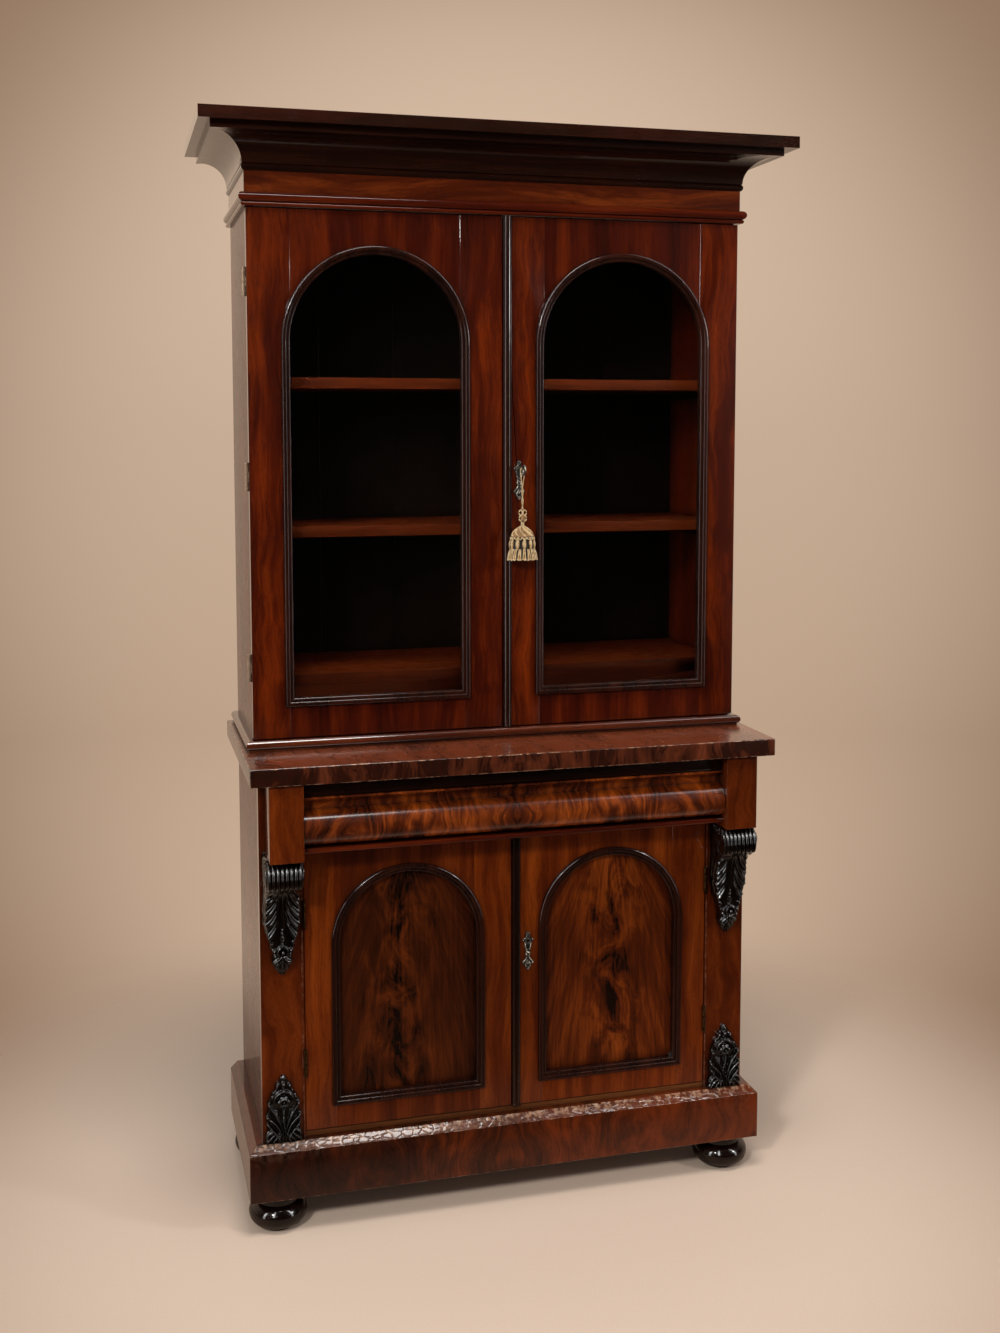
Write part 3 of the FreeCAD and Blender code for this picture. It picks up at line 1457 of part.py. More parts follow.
def tassel_cord():
    """One strand that goes up from the tassel, round the key behind its bow, and down again.

    The route is two straight runs and the arc round the key that they both touch.
    """
    thick = s.cord_diameter.value
    wrap = s.key_shank_radius.value + thick / 2 + s.fit_gap.value
    drop, spread = s.cord_drop.value, s.cord_spread.value
    middle = Vector(key_x.value, forward(cord_depth).value, key_z.value)
    reach = math.hypot(drop, spread)
    lean = math.acos(wrap / reach)
    angle = math.atan2(-drop, spread) + lean
    touch = Vector(wrap * math.cos(angle), 0, wrap * math.sin(angle))
    foot = Vector(spread, 0, -drop)
    mirror = FreeCAD.Matrix(-1, 0, 0, 0, 0, 1, 0, 0, 0, 0, 1, 0, 0, 0, 0, 1)
    right, left = (foot, touch), (mirror.multVec(foot), mirror.multVec(touch))
    edges = [
        Part.LineSegment(middle + left[0], middle + left[1]).toShape(),
        Part.Arc(middle + left[1], middle + Vector(0, 0, wrap), middle + right[1]).toShape(),
        Part.LineSegment(middle + right[1], middle + right[0]).toShape(),
    ]
    route = Part.Wire(edges)
    section = Part.Wire([Part.Circle(middle + left[0], left[1] - left[0], thick / 2).toShape()])
    tube = route.makePipeShell([section], True, False)
    expected = math.pi * thick * thick / 4 * route.Length
    if abs(tube.Volume - expected) > expected * 0.02:
        raise RuntimeError("the cord's tube has the wrong volume")
    print(f"tassel cord: length {route.Length:.1f}, radius round the key {wrap:.2f}")
    item = doc.addObject("Part::Feature", "tassel_cord")
    item.Label = "tassel_cord"
    item.Shape = tube
    return item


node(tassel_cord())


TASSEL_NECK_DEPTH = 0.45  # half depth of knot and neck, as a share of the neck's width
TASSEL_DOME = (0.35, 0.8)  # share of the cap's height where it has this share of its full size


def tassel():
    """Knot, neck, domed cap and spreading fringe, as ellipses one below the other."""
    deep = s.tassel_half_depth
    slim = s.tassel_neck_width * TASSEL_NECK_DEPTH
    knot_foot = s.tassel_knot_height
    cap_top = knot_foot + s.tassel_neck_height
    dome = cap_top + s.tassel_cap_height * TASSEL_DOME[0]
    cap_foot = cap_top + s.tassel_cap_height
    sections = (
        # distance below the top, width, half depth
        (as_size(0), s.tassel_neck_width, slim),
        (knot_foot / 2, s.tassel_knot_width, slim),
        (knot_foot, s.tassel_neck_width, slim),
        (cap_top, s.tassel_neck_width, slim),
        (dome, s.tassel_cap_width * TASSEL_DOME[1], deep * TASSEL_DOME[1]),
        (cap_foot, s.tassel_cap_width, deep),
        (cap_foot + s.tassel_skirt_height, s.tassel_skirt_width, deep),
    )
    rings = []
    for index, (below, width, half_depth) in enumerate(sections):
        ring = doc.addObject("Part::Ellipse", f"tassel_section_{index}")
        bind(ring, "MajorRadius", width / 2)
        bind(ring, "MinorRadius", half_depth)
        place(ring, key_x, forward(cord_depth), key_z - s.cord_drop - below)
        rings.append(ring)
    loft = doc.addObject("Part::Loft", "tassel")
    loft.Label = "tassel"
    loft.Sections = rings
    loft.Solid = True
    loft.Ruled = True
    return loft


node(tassel())

# Checks and export.

doc.recompute()
for item in doc.Objects:
    if any(word in state for state in item.State for word in ("Invalid", "Error")):
        raise RuntimeError(f"{item.Label} failed: {item.State}")
labels = [item.Label for item in nodes]
if len(labels) != len(set(labels)):
    raise RuntimeError("two nodes share a name")
os.makedirs("parts", exist_ok=True)
for item in nodes:
    shape = item.Shape
    if shape.isNull() or not shape.isValid() or not shape.Solids:
        raise RuntimeError(f"{item.Label} has no valid solid")
    if any(solid.Volume <= 0 for solid in shape.Solids):
        raise RuntimeError(f"{item.Label} is inside out")
    shape.exportStep(f"parts/{item.Label}.step")
print(f"{len(nodes)} nodes, {sum(len(item.Shape.Solids) for item in nodes)} solids")
whole = FreeCAD.BoundBox()
for item in nodes:
    whole.add(item.Shape.BoundBox)
print(f"overall {whole.XLength:.1f} x {whole.YLength:.1f} x {whole.ZLength:.1f}")
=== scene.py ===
"""The dressed bookcase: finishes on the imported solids, carving, keyhole plates, cord and tassel."""

import math

import bmesh
import bpy
import numpy as np
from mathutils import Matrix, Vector


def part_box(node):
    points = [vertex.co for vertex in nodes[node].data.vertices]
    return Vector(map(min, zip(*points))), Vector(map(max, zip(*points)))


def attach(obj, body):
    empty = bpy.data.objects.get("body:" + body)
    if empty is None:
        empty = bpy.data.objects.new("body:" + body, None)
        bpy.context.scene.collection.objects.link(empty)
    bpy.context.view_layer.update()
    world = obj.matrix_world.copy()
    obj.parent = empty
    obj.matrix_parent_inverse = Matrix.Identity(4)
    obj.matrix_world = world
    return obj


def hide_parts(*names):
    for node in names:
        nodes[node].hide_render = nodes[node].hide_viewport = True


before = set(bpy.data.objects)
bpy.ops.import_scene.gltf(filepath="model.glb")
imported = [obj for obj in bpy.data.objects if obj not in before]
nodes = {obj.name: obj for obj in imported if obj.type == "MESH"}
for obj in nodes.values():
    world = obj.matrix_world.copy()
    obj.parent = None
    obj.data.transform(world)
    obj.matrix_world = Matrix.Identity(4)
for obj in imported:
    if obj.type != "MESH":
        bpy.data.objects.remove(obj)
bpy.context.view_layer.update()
scene = bpy.context.scene
MM = 0.001
FULL_TURN = 2 * math.pi


# Camera, as the photograph was taken: from the left, a little above the middle, looking slightly down.

LENS, FILM = 39.70, 36.0
CAMERA_PLACE = (-0.8587, -3.1916, 1.7133)
CAMERA_YAW, CAMERA_PITCH, CAMERA_ROLL = 15.031, -4.953, 0.062  # degrees
CAMERA_SHIFT = (0.00625, -0.0834)


def make_camera():
    data = bpy.data.cameras.new("camera")
    data.lens = LENS
    data.sensor_width = FILM
    data.shift_x, data.shift_y = CAMERA_SHIFT
    camera = bpy.data.objects.new("camera", data)
    camera.location = CAMERA_PLACE
    camera.rotation_euler = (
        math.radians(90.0 + CAMERA_PITCH),
        math.radians(CAMERA_ROLL),
        -math.radians(CAMERA_YAW),
    )
    scene.collection.objects.link(camera)
    scene.camera = camera


make_camera()


# Meshes. Their points are in metres.

JOIN_WITHIN = 0.000002
TINY = 1e-12


def add_mesh(name, points, faces):
    mesh = bpy.data.meshes.new(name)
    mesh.from_pydata(points, [], faces)
    item = bpy.data.objects.new(name, mesh)
    scene.collection.objects.link(item)
    return item


def closed_mesh(name, grid):
    """A smooth closed mesh over rows of points: every row is a ring, and a face closes either end."""
    index = np.arange(grid[..., 0].size).reshape(grid.shape[:2])
    after = np.roll(index, -1, axis=1)
    quads = np.stack([index[:-1], index[1:], after[1:], after[:-1]], axis=-1).reshape(-1, 4)
    faces = [*quads.tolist(), index[0].tolist(), index[-1, ::-1].tolist()]
    item = add_mesh(name, grid.reshape(-1, 3).tolist(), faces)
    cleaner = bmesh.new()
    cleaner.from_mesh(item.data)
    bmesh.ops.remove_doubles(cleaner, verts=cleaner.verts, dist=JOIN_WITHIN)
    bmesh.ops.recalc_face_normals(cleaner, faces=cleaner.faces)
    for face in cleaner.faces:
        face.smooth = True
    cleaner.to_mesh(item.data)
    cleaner.free()
    return item


def line_frames(path):
    """For every point of a line: two directions across it that don't twist about it."""
    along = np.gradient(path, axis=0)
    along /= np.maximum(np.linalg.norm(along, axis=1), TINY)[:, None]
    start = np.cross(along[0], (0.0, 1.0, 0.0))
    if np.linalg.norm(start) < 0.1:
        start = np.cross(along[0], (1.0, 0.0, 0.0))
    first = [start / np.linalg.norm(start)]
    for direction in along[1:]:
        side = first[-1] - direction * np.dot(first[-1], direction)
        first.append(side / max(np.linalg.norm(side), TINY))
    first = np.array(first)
    return first, np.cross(along, first)


def tubes(name, paths, radii, sides=7, kinds=None):
    """One mesh of closed tubes along the paths. kinds gives each tube's material."""
    points, faces, marks = [], [], []
    turn = np.linspace(0, FULL_TURN, sides, endpoint=False)
    for number, path in enumerate(paths):
        path = np.array(path, float)
        radius = np.broadcast_to(radii[number], (len(path),))
        one, two = line_frames(path)
        across = np.cos(turn)[None, :, None] * one[:, None] + np.sin(turn)[None, :, None] * two[:, None]
        rings = path[:, None] + radius[:, None, None] * across
        index = len(points) + np.arange(len(path) * sides).reshape(len(path), sides)
        after = np.roll(index, -1, axis=1)
        quads = np.stack([index[:-1], after[:-1], after[1:], index[1:]], axis=-1).reshape(-1, 4)
        made = [*quads.tolist(), index[0, ::-1].tolist(), index[-1].tolist()]
        points += rings.reshape(-1, 3).tolist()
        faces += made
        marks += [kinds[number] if kinds else 0] * len(made)
    item = add_mesh(name, points, faces)
    item.data.polygons.foreach_set("material_index", marks)
    item.data.polygons.foreach_set("use_smooth", [True] * len(faces))
    return item


def evenly(line, count, measured):
    """A line as evenly spaced points, and how far along each is. Its first columns measure the distance."""
    gaps = np.linalg.norm(np.diff(line[:, :measured], axis=0), axis=1)
    steps = np.concatenate([[0], np.cumsum(gaps)])
    at = np.linspace(0, steps[-1], count)
    return np.column_stack([np.interp(at, steps, column) for column in line.T]), at


# Node trees.


def srgb(red, green, blue):
    """A colour as it is seen on a screen, 0 to 255, as the linear values that nodes take."""
    seen = [channel / 255.0 for channel in (red, green, blue)]
    linear = [c / 12.92 if c <= 0.04045 else ((c + 0.055) / 1.055) ** 2.4 for c in seen]
    return (*linear, 1.0)


class Recipe:
    """One node tree, built by short calls. Each call gives back the socket that it makes."""

    def __init__(self, owner):
        owner.use_nodes = True
        self.tree = owner.node_tree
        self.tree.nodes.clear()

    def node(self, kind, sockets=None, **settings):
        """A node, whose input sockets are given by name or by number."""
        made = self.tree.nodes.new(kind)
        for name, value in settings.items():
            setattr(made, name, value)
        for name, value in (sockets or {}).items():
            if isinstance(value, bpy.types.NodeSocket):
                self.tree.links.new(value, made.inputs[name])
            else:
                made.inputs[name].default_value = value
        return made

    def place(self):
        return self.node("ShaderNodeTexCoord").outputs["Object"]

    def facing(self):
        return self.node("ShaderNodeTexCoord").outputs["Normal"]

    def mapped(self, where, scale=(1, 1, 1), shift=(0, 0, 0)):
        values = {"Vector": where, "Scale": scale, "Location": shift}
        return self.node("ShaderNodeMapping", values).outputs["Vector"]

    def noise(self, where, scale, detail=3.0, roughness=0.5, distortion=0.0):
        values = {
            "Vector": where,
            "Scale": scale,
            "Detail": detail,
            "Roughness": roughness,
            "Distortion": distortion,
        }
        return self.node("ShaderNodeTexNoise", values).outputs["Fac"]

    def cracks(self, where, scale):
        """Distance from the nearest crack of a crackled surface."""
        values = {"Vector": where, "Scale": scale}
        return self.node("ShaderNodeTexVoronoi", values, feature="DISTANCE_TO_EDGE").outputs["Distance"]

    def calc(self, operation, a, b=0.5):
        return self.node("ShaderNodeMath", {0: a, 1: b}, operation=operation).outputs["Value"]

    def sum(self, a, b):
        return self.calc("ADD", a, b)

    def times(self, a, b):
        return self.calc("MULTIPLY", a, b)

    def blend(self, a, b, share):
        """A sum in which a has the share and b the rest."""
        return self.sum(self.times(a, share), self.times(b, 1.0 - share))

    def vector(self, operation, a, b=(0, 0, 0)):
        return self.node("ShaderNodeVectorMath", {0: a, 1: b}, operation=operation).outputs["Vector"]

    def dot(self, a, b):
        return self.node("ShaderNodeVectorMath", {0: a, 1: b}, operation="DOT_PRODUCT").outputs["Value"]

    def fit(self, value, low, high, to_low=0.0, to_high=1.0, curve="LINEAR"):
        values = {"Value": value, "From Min": low, "From Max": high, "To Min": to_low, "To Max": to_high}
        return self.node("ShaderNodeMapRange", values, interpolation_type=curve).outputs["Result"]

    def ramp(self, value, *stops):
        made = self.node("ShaderNodeValToRGB", {"Fac": value})
        elements = made.color_ramp.elements
        while len(elements) < len(stops):
            elements.new(0.5)
        for element, (position, colour) in zip(elements, stops):
            element.position = position
            element.color = colour
        return made.outputs["Color"]

    def mix(self, share, a, b, blend="MIX"):
        made = self.node("ShaderNodeMix", {0: share, 6: a, 7: b}, data_type="RGBA", blend_type=blend)
        return made.outputs[2]

    def dimmed(self, colour, share):
        return self.mix(1.0, colour, self.join(share, share, share), "MULTIPLY")

    def brightened(self, colour, light):
        return self.mix(1.0, colour, self.join(light, light, light), "ADD")

    def split(self, where):
        return self.node("ShaderNodeSeparateXYZ", {"Vector": where}).outputs

    def join(self, x, y, z):
        return self.node("ShaderNodeCombineXYZ", {"X": x, "Y": y, "Z": z}).outputs["Vector"]

    def bump(self, height, distance, strength=1.0):
        values = {"Height": height, "Distance": distance, "Strength": strength}
        return self.node("ShaderNodeBump", values).outputs["Normal"]

    def mirrored_ray(self):
        """1 for the rays that polish mirrors and that glass lets through."""
        path = self.node("ShaderNodeLightPath").outputs
        return self.calc("MAXIMUM", path["Is Glossy Ray"], path["Is Transmission Ray"])

    def principled(self, **values):
        """A Principled shader with these sockets, named with underscores."""
        sockets = {name.replace("_", " "): value for name, value in values.items()}
        return self.node("ShaderNodeBsdfPrincipled", sockets).outputs["BSDF"]

    def mixed(self, share, first, second):
        """A mix of two shaders."""
        return self.node("ShaderNodeMixShader", {0: share, 1: first, 2: second}).outputs["Shader"]

    def finish(self, shader):
        self.node("ShaderNodeOutputMaterial", {"Surface": shader})


def new_material(name):
    material = bpy.data.materials.new(name)
    return material, Recipe(material)


# Wood. Every wood is the same polished mahogany with its own grain direction, figure and depth of stain.


def coat(weight, roughness=0.03, ior=1.5, specular=0.06):
    """The sockets of a coat of polish, and of the shine that the bare wood has by itself."""
    return {
        "Coat_Weight": weight,
        "Coat_Roughness": roughness,
        "Coat_IOR": ior,
        "Specular_IOR_Level": specular,
    }


POLISH = coat(1.0, 0.09, 1.45)
SATIN = coat(1.0, 0.2, 1.6)
RUBBED = coat(1.0, 0.1, 1.9)
WAXED = coat(0.6, 0.12, 1.45)
DULL = coat(0.25, 0.3, 1.35, 0.1)
MATT = coat(0.0, specular=0.04)

GRAIN_AXES = {"x": (0, 1, 2), "y": (1, 0, 2), "z": (2, 0, 1)}  # along the grain, then the two across it
STREAKS, FIBRES = (5, 170, 170), (22, 900, 900)  # per metre along and across the grain
FIGURE_SHARE = 0.72  # how much of the tone is figure. The rest is streaks
SWIRL_ALONG = 0.2  # the grain is pushed about less along itself than across
CORNER_SHADE_REACH, PLATE_CORNER_SHADE_REACH = 0.022, 0.003  # how far the painted shade in corners reaches
WOOD_CORNER_SHADE, CARVING_CORNER_SHADE, PLATE_CORNER_SHADE = 0.72, 0.85, 0.9  # and how dark it is
PORE_TONE, WORN_TONE, CRAZED_AND_REFLECTION_TONE = srgb(22, 5, 1), srgb(190, 150, 122), srgb(132, 92, 76)
CHAMFER_WAY = (0.0, -0.7071, 0.7071)
CASE_LEFT, CASE_RIGHT = -0.5, 0.35  # between these the light on the flame veneers rises or falls


def along_grain(recipe, where, grain, shift):
    """Coordinates with the grain along X. In "round" mouldings it turns the mitred corner with the run."""
    x, y, z = recipe.split(recipe.mapped(where, shift=shift))
    if grain == "round":
        return recipe.join(recipe.sum(x, y), 0.0, z)
    parts = (x, y, z)
    return recipe.join(*(parts[axis] for axis in GRAIN_AXES[grain]))


def swirled(recipe, where, amount, size):
    """Pushes the coordinates about by a slow noise, which gives swept and flame figure."""
    values = {"Vector": where, "Scale": size, "Detail": 2.0, "Roughness": 0.5}
    slow = recipe.node("ShaderNodeTexNoise", values).outputs["Color"]
    offset = recipe.vector("SUBTRACT", slow, (0.5, 0.5, 0.5))
    pushed = recipe.vector("MULTIPLY", offset, (SWIRL_ALONG * amount, amount, amount))
    return recipe.vector("ADD", where, pushed)


def shade_in_corners(recipe, colour, depth, reach=CORNER_SHADE_REACH):
    """Darkens the colour by how enclosed each place is, as ambient occlusion finds it: painted shade in
    corners and crevices.
    """
    open_share = recipe.node("ShaderNodeAmbientOcclusion", {"Distance": reach}, samples=4).outputs["AO"]
    return recipe.dimmed(colour, recipe.fit(open_share, 0.3, 0.85, 1.0 - depth, 1.0))


def worn_arris(recipe, colour, amount):
    """Pale wear where a flat board's eased edges turn, broken up by a fine noise."""
    x, y, z = recipe.split(recipe.vector("ABSOLUTE", recipe.facing()))
    flat = recipe.calc("MAXIMUM", recipe.calc("MAXIMUM", x, y), z)
    turn = recipe.times(recipe.fit(flat, 0.99, 0.9), recipe.fit(flat, 0.72, 0.78))
    chips = recipe.fit(recipe.noise(recipe.place(), 90.0, 3.0, 0.6), 0.46, 0.62, 0.0, amount)
    return recipe.mix(recipe.times(turn, chips), colour, WORN_TONE)


def crackled_chamfer(recipe, colour):
    """The plinth's chamfer, whose old polish has crackled and gone pale, with a painted reflection that is
    strongest at the left end, and the bump of its cracks.
    """
    mask = recipe.fit(recipe.dot(recipe.facing(), CHAMFER_WAY), 0.97, 0.995)
    x = recipe.split(recipe.place())[0]
    bent = swirled(recipe, recipe.mapped(recipe.place(), scale=(0.5, 1, 1)), 0.02, 14.0)
    crack = recipe.fit(recipe.cracks(bent, 95.0), 0.0, 0.14)
    blotch = recipe.fit(recipe.noise(recipe.place(), 30.0, 4.0, 0.65), 0.35, 0.65, 0.25, 0.75)
    # crazed polish and a painted reflection, paler towards the left end
    pale = recipe.times(recipe.times(mask, blotch), recipe.fit(x, CASE_LEFT, CASE_RIGHT, 1.0, 0.35))
    return recipe.mix(pale, colour, CRAZED_AND_REFLECTION_TONE), recipe.times(mask, crack)


def finish_wood(recipe, grain_place, figure, tones, patina, pores=1.0, gloss=POLISH, wear=0.0, chamfer=False):
    """Joins the colour, pores, patina and polish of a wood whose figure is a value from 0 to 1."""
    dark, middle, light = tones
    streak = recipe.noise(recipe.mapped(grain_place, scale=STREAKS), 1.0, 5.0, 0.62)
    fibre = recipe.noise(recipe.mapped(grain_place, scale=FIBRES), 1.0, 2.0, 0.6)
    value = recipe.blend(figure, streak, FIGURE_SHARE)
    colour = recipe.ramp(value, (0.27, dark), (0.47, middle), (0.72, light))
    pore = recipe.fit(fibre, 0.56, 0.68, 0.0, 0.55 * pores)
    colour = recipe.mix(pore, colour, PORE_TONE)
    slow = recipe.noise(recipe.place(), 2.6, 3.0, 0.55)
    colour = recipe.dimmed(colour, recipe.fit(slow, 0.3, 0.7, 1.0 - patina, 1.0 + 0.5 * patina))
    if wear:
        colour = worn_arris(recipe, colour, wear)
    wave = recipe.noise(recipe.place(), 26.0, 3.0, 0.55)
    if chamfer:
        colour, crazing = crackled_chamfer(recipe, colour)
        wave = recipe.sum(wave, crazing)
    smear = recipe.noise(recipe.place(), 34.0, 4.0, 0.6)
    height = recipe.sum(recipe.times(pore, -0.35), recipe.times(streak, 0.3))
    recipe.finish(recipe.principled(
        # painted shade in the corners
        Base_Color=shade_in_corners(recipe, colour, WOOD_CORNER_SHADE),
        Roughness=recipe.fit(smear, 0.3, 0.7, 0.34, 0.5),
        Normal=recipe.bump(height, 0.0004, 0.35),
        Coat_Normal=recipe.bump(wave, 0.0009, 0.35),
        **gloss,
    ))


def wood(name, grain, tones, shift=(0, 0, 0), swirl=0.02, swirl_size=2.5, band=24.0, patina=0.25,
         gloss=POLISH, wear=0.0):
    """Straight or swept mahogany. band is how many bands of figure it has to a metre."""
    material, recipe = new_material(name)
    place = along_grain(recipe, recipe.place(), grain, shift)
    bent = swirled(recipe, place, swirl, swirl_size)
    figure = recipe.noise(recipe.mapped(bent, scale=(1.6, band, band)), 1.0, 4.0, 0.55)
    finish_wood(recipe, bent, figure, tones, patina, gloss=gloss, wear=wear)
    return material


def flame_veneer(name, tones, shift, heart, lift, strength, gloss=POLISH, wear=0.0, chamfer=False,
                 top_highlight=False):
    """Flame figure across the board, book-matched about the middle of the case.

    heart darkens the middle joint. lift is how much painted light brightens the figure from the left end to
    the right.
    The flag at the end paints the board's top face paler: a painted highlight.
    """
    material, recipe = new_material(name)
    x, y, z = recipe.split(recipe.place())
    away = recipe.calc("ABSOLUTE", recipe.sum(x, 0.012))
    bent = swirled(recipe, recipe.mapped(recipe.join(z, away, y), shift=shift), 0.12, 7.0)
    arcs = recipe.noise(recipe.mapped(bent, scale=(9, 13, 4)), 1.0, 2.0, 0.5, 0.9)
    streak = recipe.noise(recipe.mapped(bent, scale=(6, 75, 9)), 1.0, 5.0, 0.62, 0.4)
    figure = recipe.blend(arcs, streak, 0.55)
    figure = recipe.fit(figure, 0.32, 0.68, 0.5 - strength, 0.5 + strength)
    figure = recipe.sum(figure, recipe.fit(away, 0.0, 0.09, -heart, 0.0))
    # painted light, rising from the left end of the case to the right
    figure = recipe.sum(figure, recipe.fit(x, CASE_LEFT, CASE_RIGHT, -lift, lift))
    # painted highlight: the top face is made paler
    if top_highlight:
        upward = recipe.split(recipe.facing())[2]
        figure = recipe.sum(figure, recipe.fit(upward, 0.9, 1.0, 0.0, 0.3))
    finish_wood(recipe, bent, figure, tones, 0.2, 0.5, gloss, wear, chamfer)
    return material


def crotch(name, middle, crown, tones, lean, shift):
    """The feathered figure of a crotch veneer: grain that parts at the top of the panel and falls outward."""
    material, recipe = new_material(name)
    x, _, z = recipe.split(swirled(recipe, recipe.mapped(recipe.place(), shift=shift), 0.05, 7.0))
    board_x = recipe.split(recipe.place())[0]
    across = recipe.calc("SUBTRACT", recipe.sum(x, -shift[0]), middle)
    fall = recipe.calc("MAXIMUM", recipe.calc("SUBTRACT", crown, recipe.sum(z, -shift[2])), 0.01)
    away = recipe.calc("ABSOLUTE", recipe.sum(across, recipe.times(fall, lean)))
    spread = recipe.calc("POWER", fall, 0.62)
    stream = recipe.calc("DIVIDE", away, recipe.sum(spread, 0.03))
    flow = recipe.join(fall, recipe.sum(stream, shift[0]), 0.0)
    feather = recipe.noise(recipe.mapped(flow, scale=(5.5, 30, 1)), 1.0, 5.0, 0.65, 0.5)
    fine = recipe.noise(recipe.mapped(flow, scale=(12, 130, 1)), 1.0, 4.0, 0.6)
    blot = recipe.noise(recipe.mapped(recipe.join(x, z, 0.0), scale=(20, 9, 1)), 1.0, 5.0, 0.65, 0.9)
    heart = recipe.fit(away, 0.0, 0.10, 1.0, 0.0)
    plume = recipe.times(heart, recipe.fit(blot, 0.40, 0.62, 0.2, -0.4))
    figure = recipe.sum(recipe.blend(feather, fine, 0.7), plume)
    aside = recipe.calc("ABSOLUTE", recipe.calc("SUBTRACT", board_x, middle))
    rim = recipe.fit(aside, 0.08, 0.165, 0.0, -0.1)
    finish_wood(recipe, recipe.join(z, x, 0.0), recipe.sum(figure, rim), tones, 0.2, 0.6)
    return material


def shades(*colours):
    """The dark, middle and light tone of a wood or a yarn."""
    return tuple(srgb(*colour) for colour in colours)


REDDISH = shades((36, 6, 1), (74, 18, 2), (120, 44, 8))
STILE = shades((27, 5, 1), (68, 16, 1), (128, 46, 4))
RAIL = shades((24, 3, 1), (60, 12, 1), (108, 36, 4))
GOLDEN = shades((52, 15, 2), (100, 36, 3), (150, 68, 13))
BROWN = shades((44, 13, 2), (86, 30, 3), (128, 54, 10))
DEEP = shades((12, 3, 1), (30, 10, 3), (54, 20, 8))
WAIST = shades((36, 10, 3), (74, 27, 9), (118, 54, 24))
FRIEZE = shades((30, 6, 1), (84, 28, 4), (150, 66, 18))
MOULDING = shades((16, 5, 2), (34, 12, 6), (60, 24, 12))
SHELF = shades((34, 10, 2), (70, 23, 5), (100, 39, 11))
EDGE_FLAME = shades((24, 8, 3), (54, 20, 6), (104, 40, 9))
BOLSTER = shades((22, 6, 2), (88, 32, 5), (168, 78, 18))
SLAB = shades((30, 10, 4), (50, 17, 6), (118, 56, 30))
FLAME = shades((22, 7, 2), (84, 31, 5), (140, 64, 15))
PANEL = shades((17, 6, 2), (60, 22, 4), (104, 44, 11))
PALE = shades((70, 34, 16), (104, 58, 28), (138, 84, 44))
SHADED = shades((5, 2, 1), (12, 6, 3), (22, 12, 7))


def carved_wood(name, tone, crest, polish=1.0):
    """Ebonised carving: near black, darker still with painted shade in the hollows, a little browner where
    hands have worn the ridges.
    """
    material, recipe = new_material(name)
    grime = recipe.noise(recipe.place(), 60.0, 5.0, 0.65)
    large = recipe.noise(recipe.place(), 14.0, 3.0, 0.5)
    colour = recipe.ramp(recipe.blend(grime, large, 0.5), (0.36, tone), (0.66, crest))
    grain = recipe.noise(recipe.mapped(recipe.place(), scale=(260, 260, 18)), 1.0, 4.0, 0.6)
    recipe.finish(recipe.principled(
        Base_Color=shade_in_corners(recipe, colour, CARVING_CORNER_SHADE),
        Roughness=recipe.fit(grime, 0.3, 0.7, 0.24, 0.42),
        Normal=recipe.bump(recipe.sum(recipe.times(grain, 0.4), grime), 0.0005, 0.4),
        **coat(polish, 0.05, 1.6),
    ))
    return material


# Metal, glass and silk.

PALE_ABOVE, DARK_BELOW = 1.0, 0.9  # heights in metres between which the hinges' brass changes


def metal(name, dark, bright, polish, grain=140.0):
    """Old metal: bright on the worn surface, brown in the patches that nobody touches."""
    material, recipe = new_material(name)
    patch = recipe.noise(recipe.place(), grain, 4.0, 0.6)
    recipe.finish(recipe.principled(
        Base_Color=recipe.ramp(patch, (0.38, dark), (0.62, bright)),
        Roughness=recipe.fit(patch, 0.35, 0.65, polish + 0.22, polish),
        Normal=recipe.bump(recipe.noise(recipe.place(), grain * 9.0, 3.0, 0.6), 0.00012, 0.4),
        Metallic=1.0,
    ))
    return material


def hinge_metal(name):
    """Brass that is dull and pale on the glazed doors, a painted reflection that matches the backdrop
    mirrored by the side boards there, and nearly black on the cupboard below.
    """
    material, recipe = new_material(name)
    raised = recipe.fit(recipe.split(recipe.place())[2], DARK_BELOW, PALE_ABOVE)
    patch = recipe.noise(recipe.place(), 140.0, 4.0, 0.6)
    dark = recipe.ramp(patch, (0.38, srgb(46, 28, 14)), (0.62, srgb(104, 74, 40)))
    pale = recipe.ramp(patch, (0.38, srgb(142, 116, 94)), (0.62, srgb(172, 146, 122)))
    recipe.finish(recipe.principled(
        Base_Color=recipe.mix(raised, dark, pale),
        Roughness=recipe.fit(patch, 0.35, 0.65, 0.52, 0.3),
        Normal=recipe.bump(recipe.noise(recipe.place(), 1260.0, 3.0, 0.6), 0.00012, 0.4),
        Metallic=recipe.fit(raised, 0.0, 1.0, 1.0, 0.2),
    ))
    return material


def cast_bronze(name, face, crest):
    """Dark in its hollows, with painted shade in its corners, and worn pale on its crests, whose pale tone is
    also a painted highlight. face and crest are the Y where each begins.
    """
    material, recipe = new_material(name)
    y = recipe.split(recipe.place())[1]
    patch = recipe.fit(recipe.noise(recipe.place(), 210.0), 0.42, 0.56, 0.06, 1.0)
    # wear on the crests, and their painted highlight
    worn = recipe.times(recipe.fit(y, face, crest), patch)
    colour = recipe.mix(worn, srgb(16, 10, 6), srgb(240, 226, 204))
    recipe.finish(recipe.principled(
        Base_Color=shade_in_corners(recipe, colour, PLATE_CORNER_SHADE, PLATE_CORNER_SHADE_REACH),
        Roughness=recipe.fit(worn, 0.0, 1.0, 0.5, 0.22),
        Normal=recipe.bump(recipe.noise(recipe.place(), 1600.0, 3.0, 0.6), 0.0001, 0.5),
        Metallic=0.25,
    ))
    return material


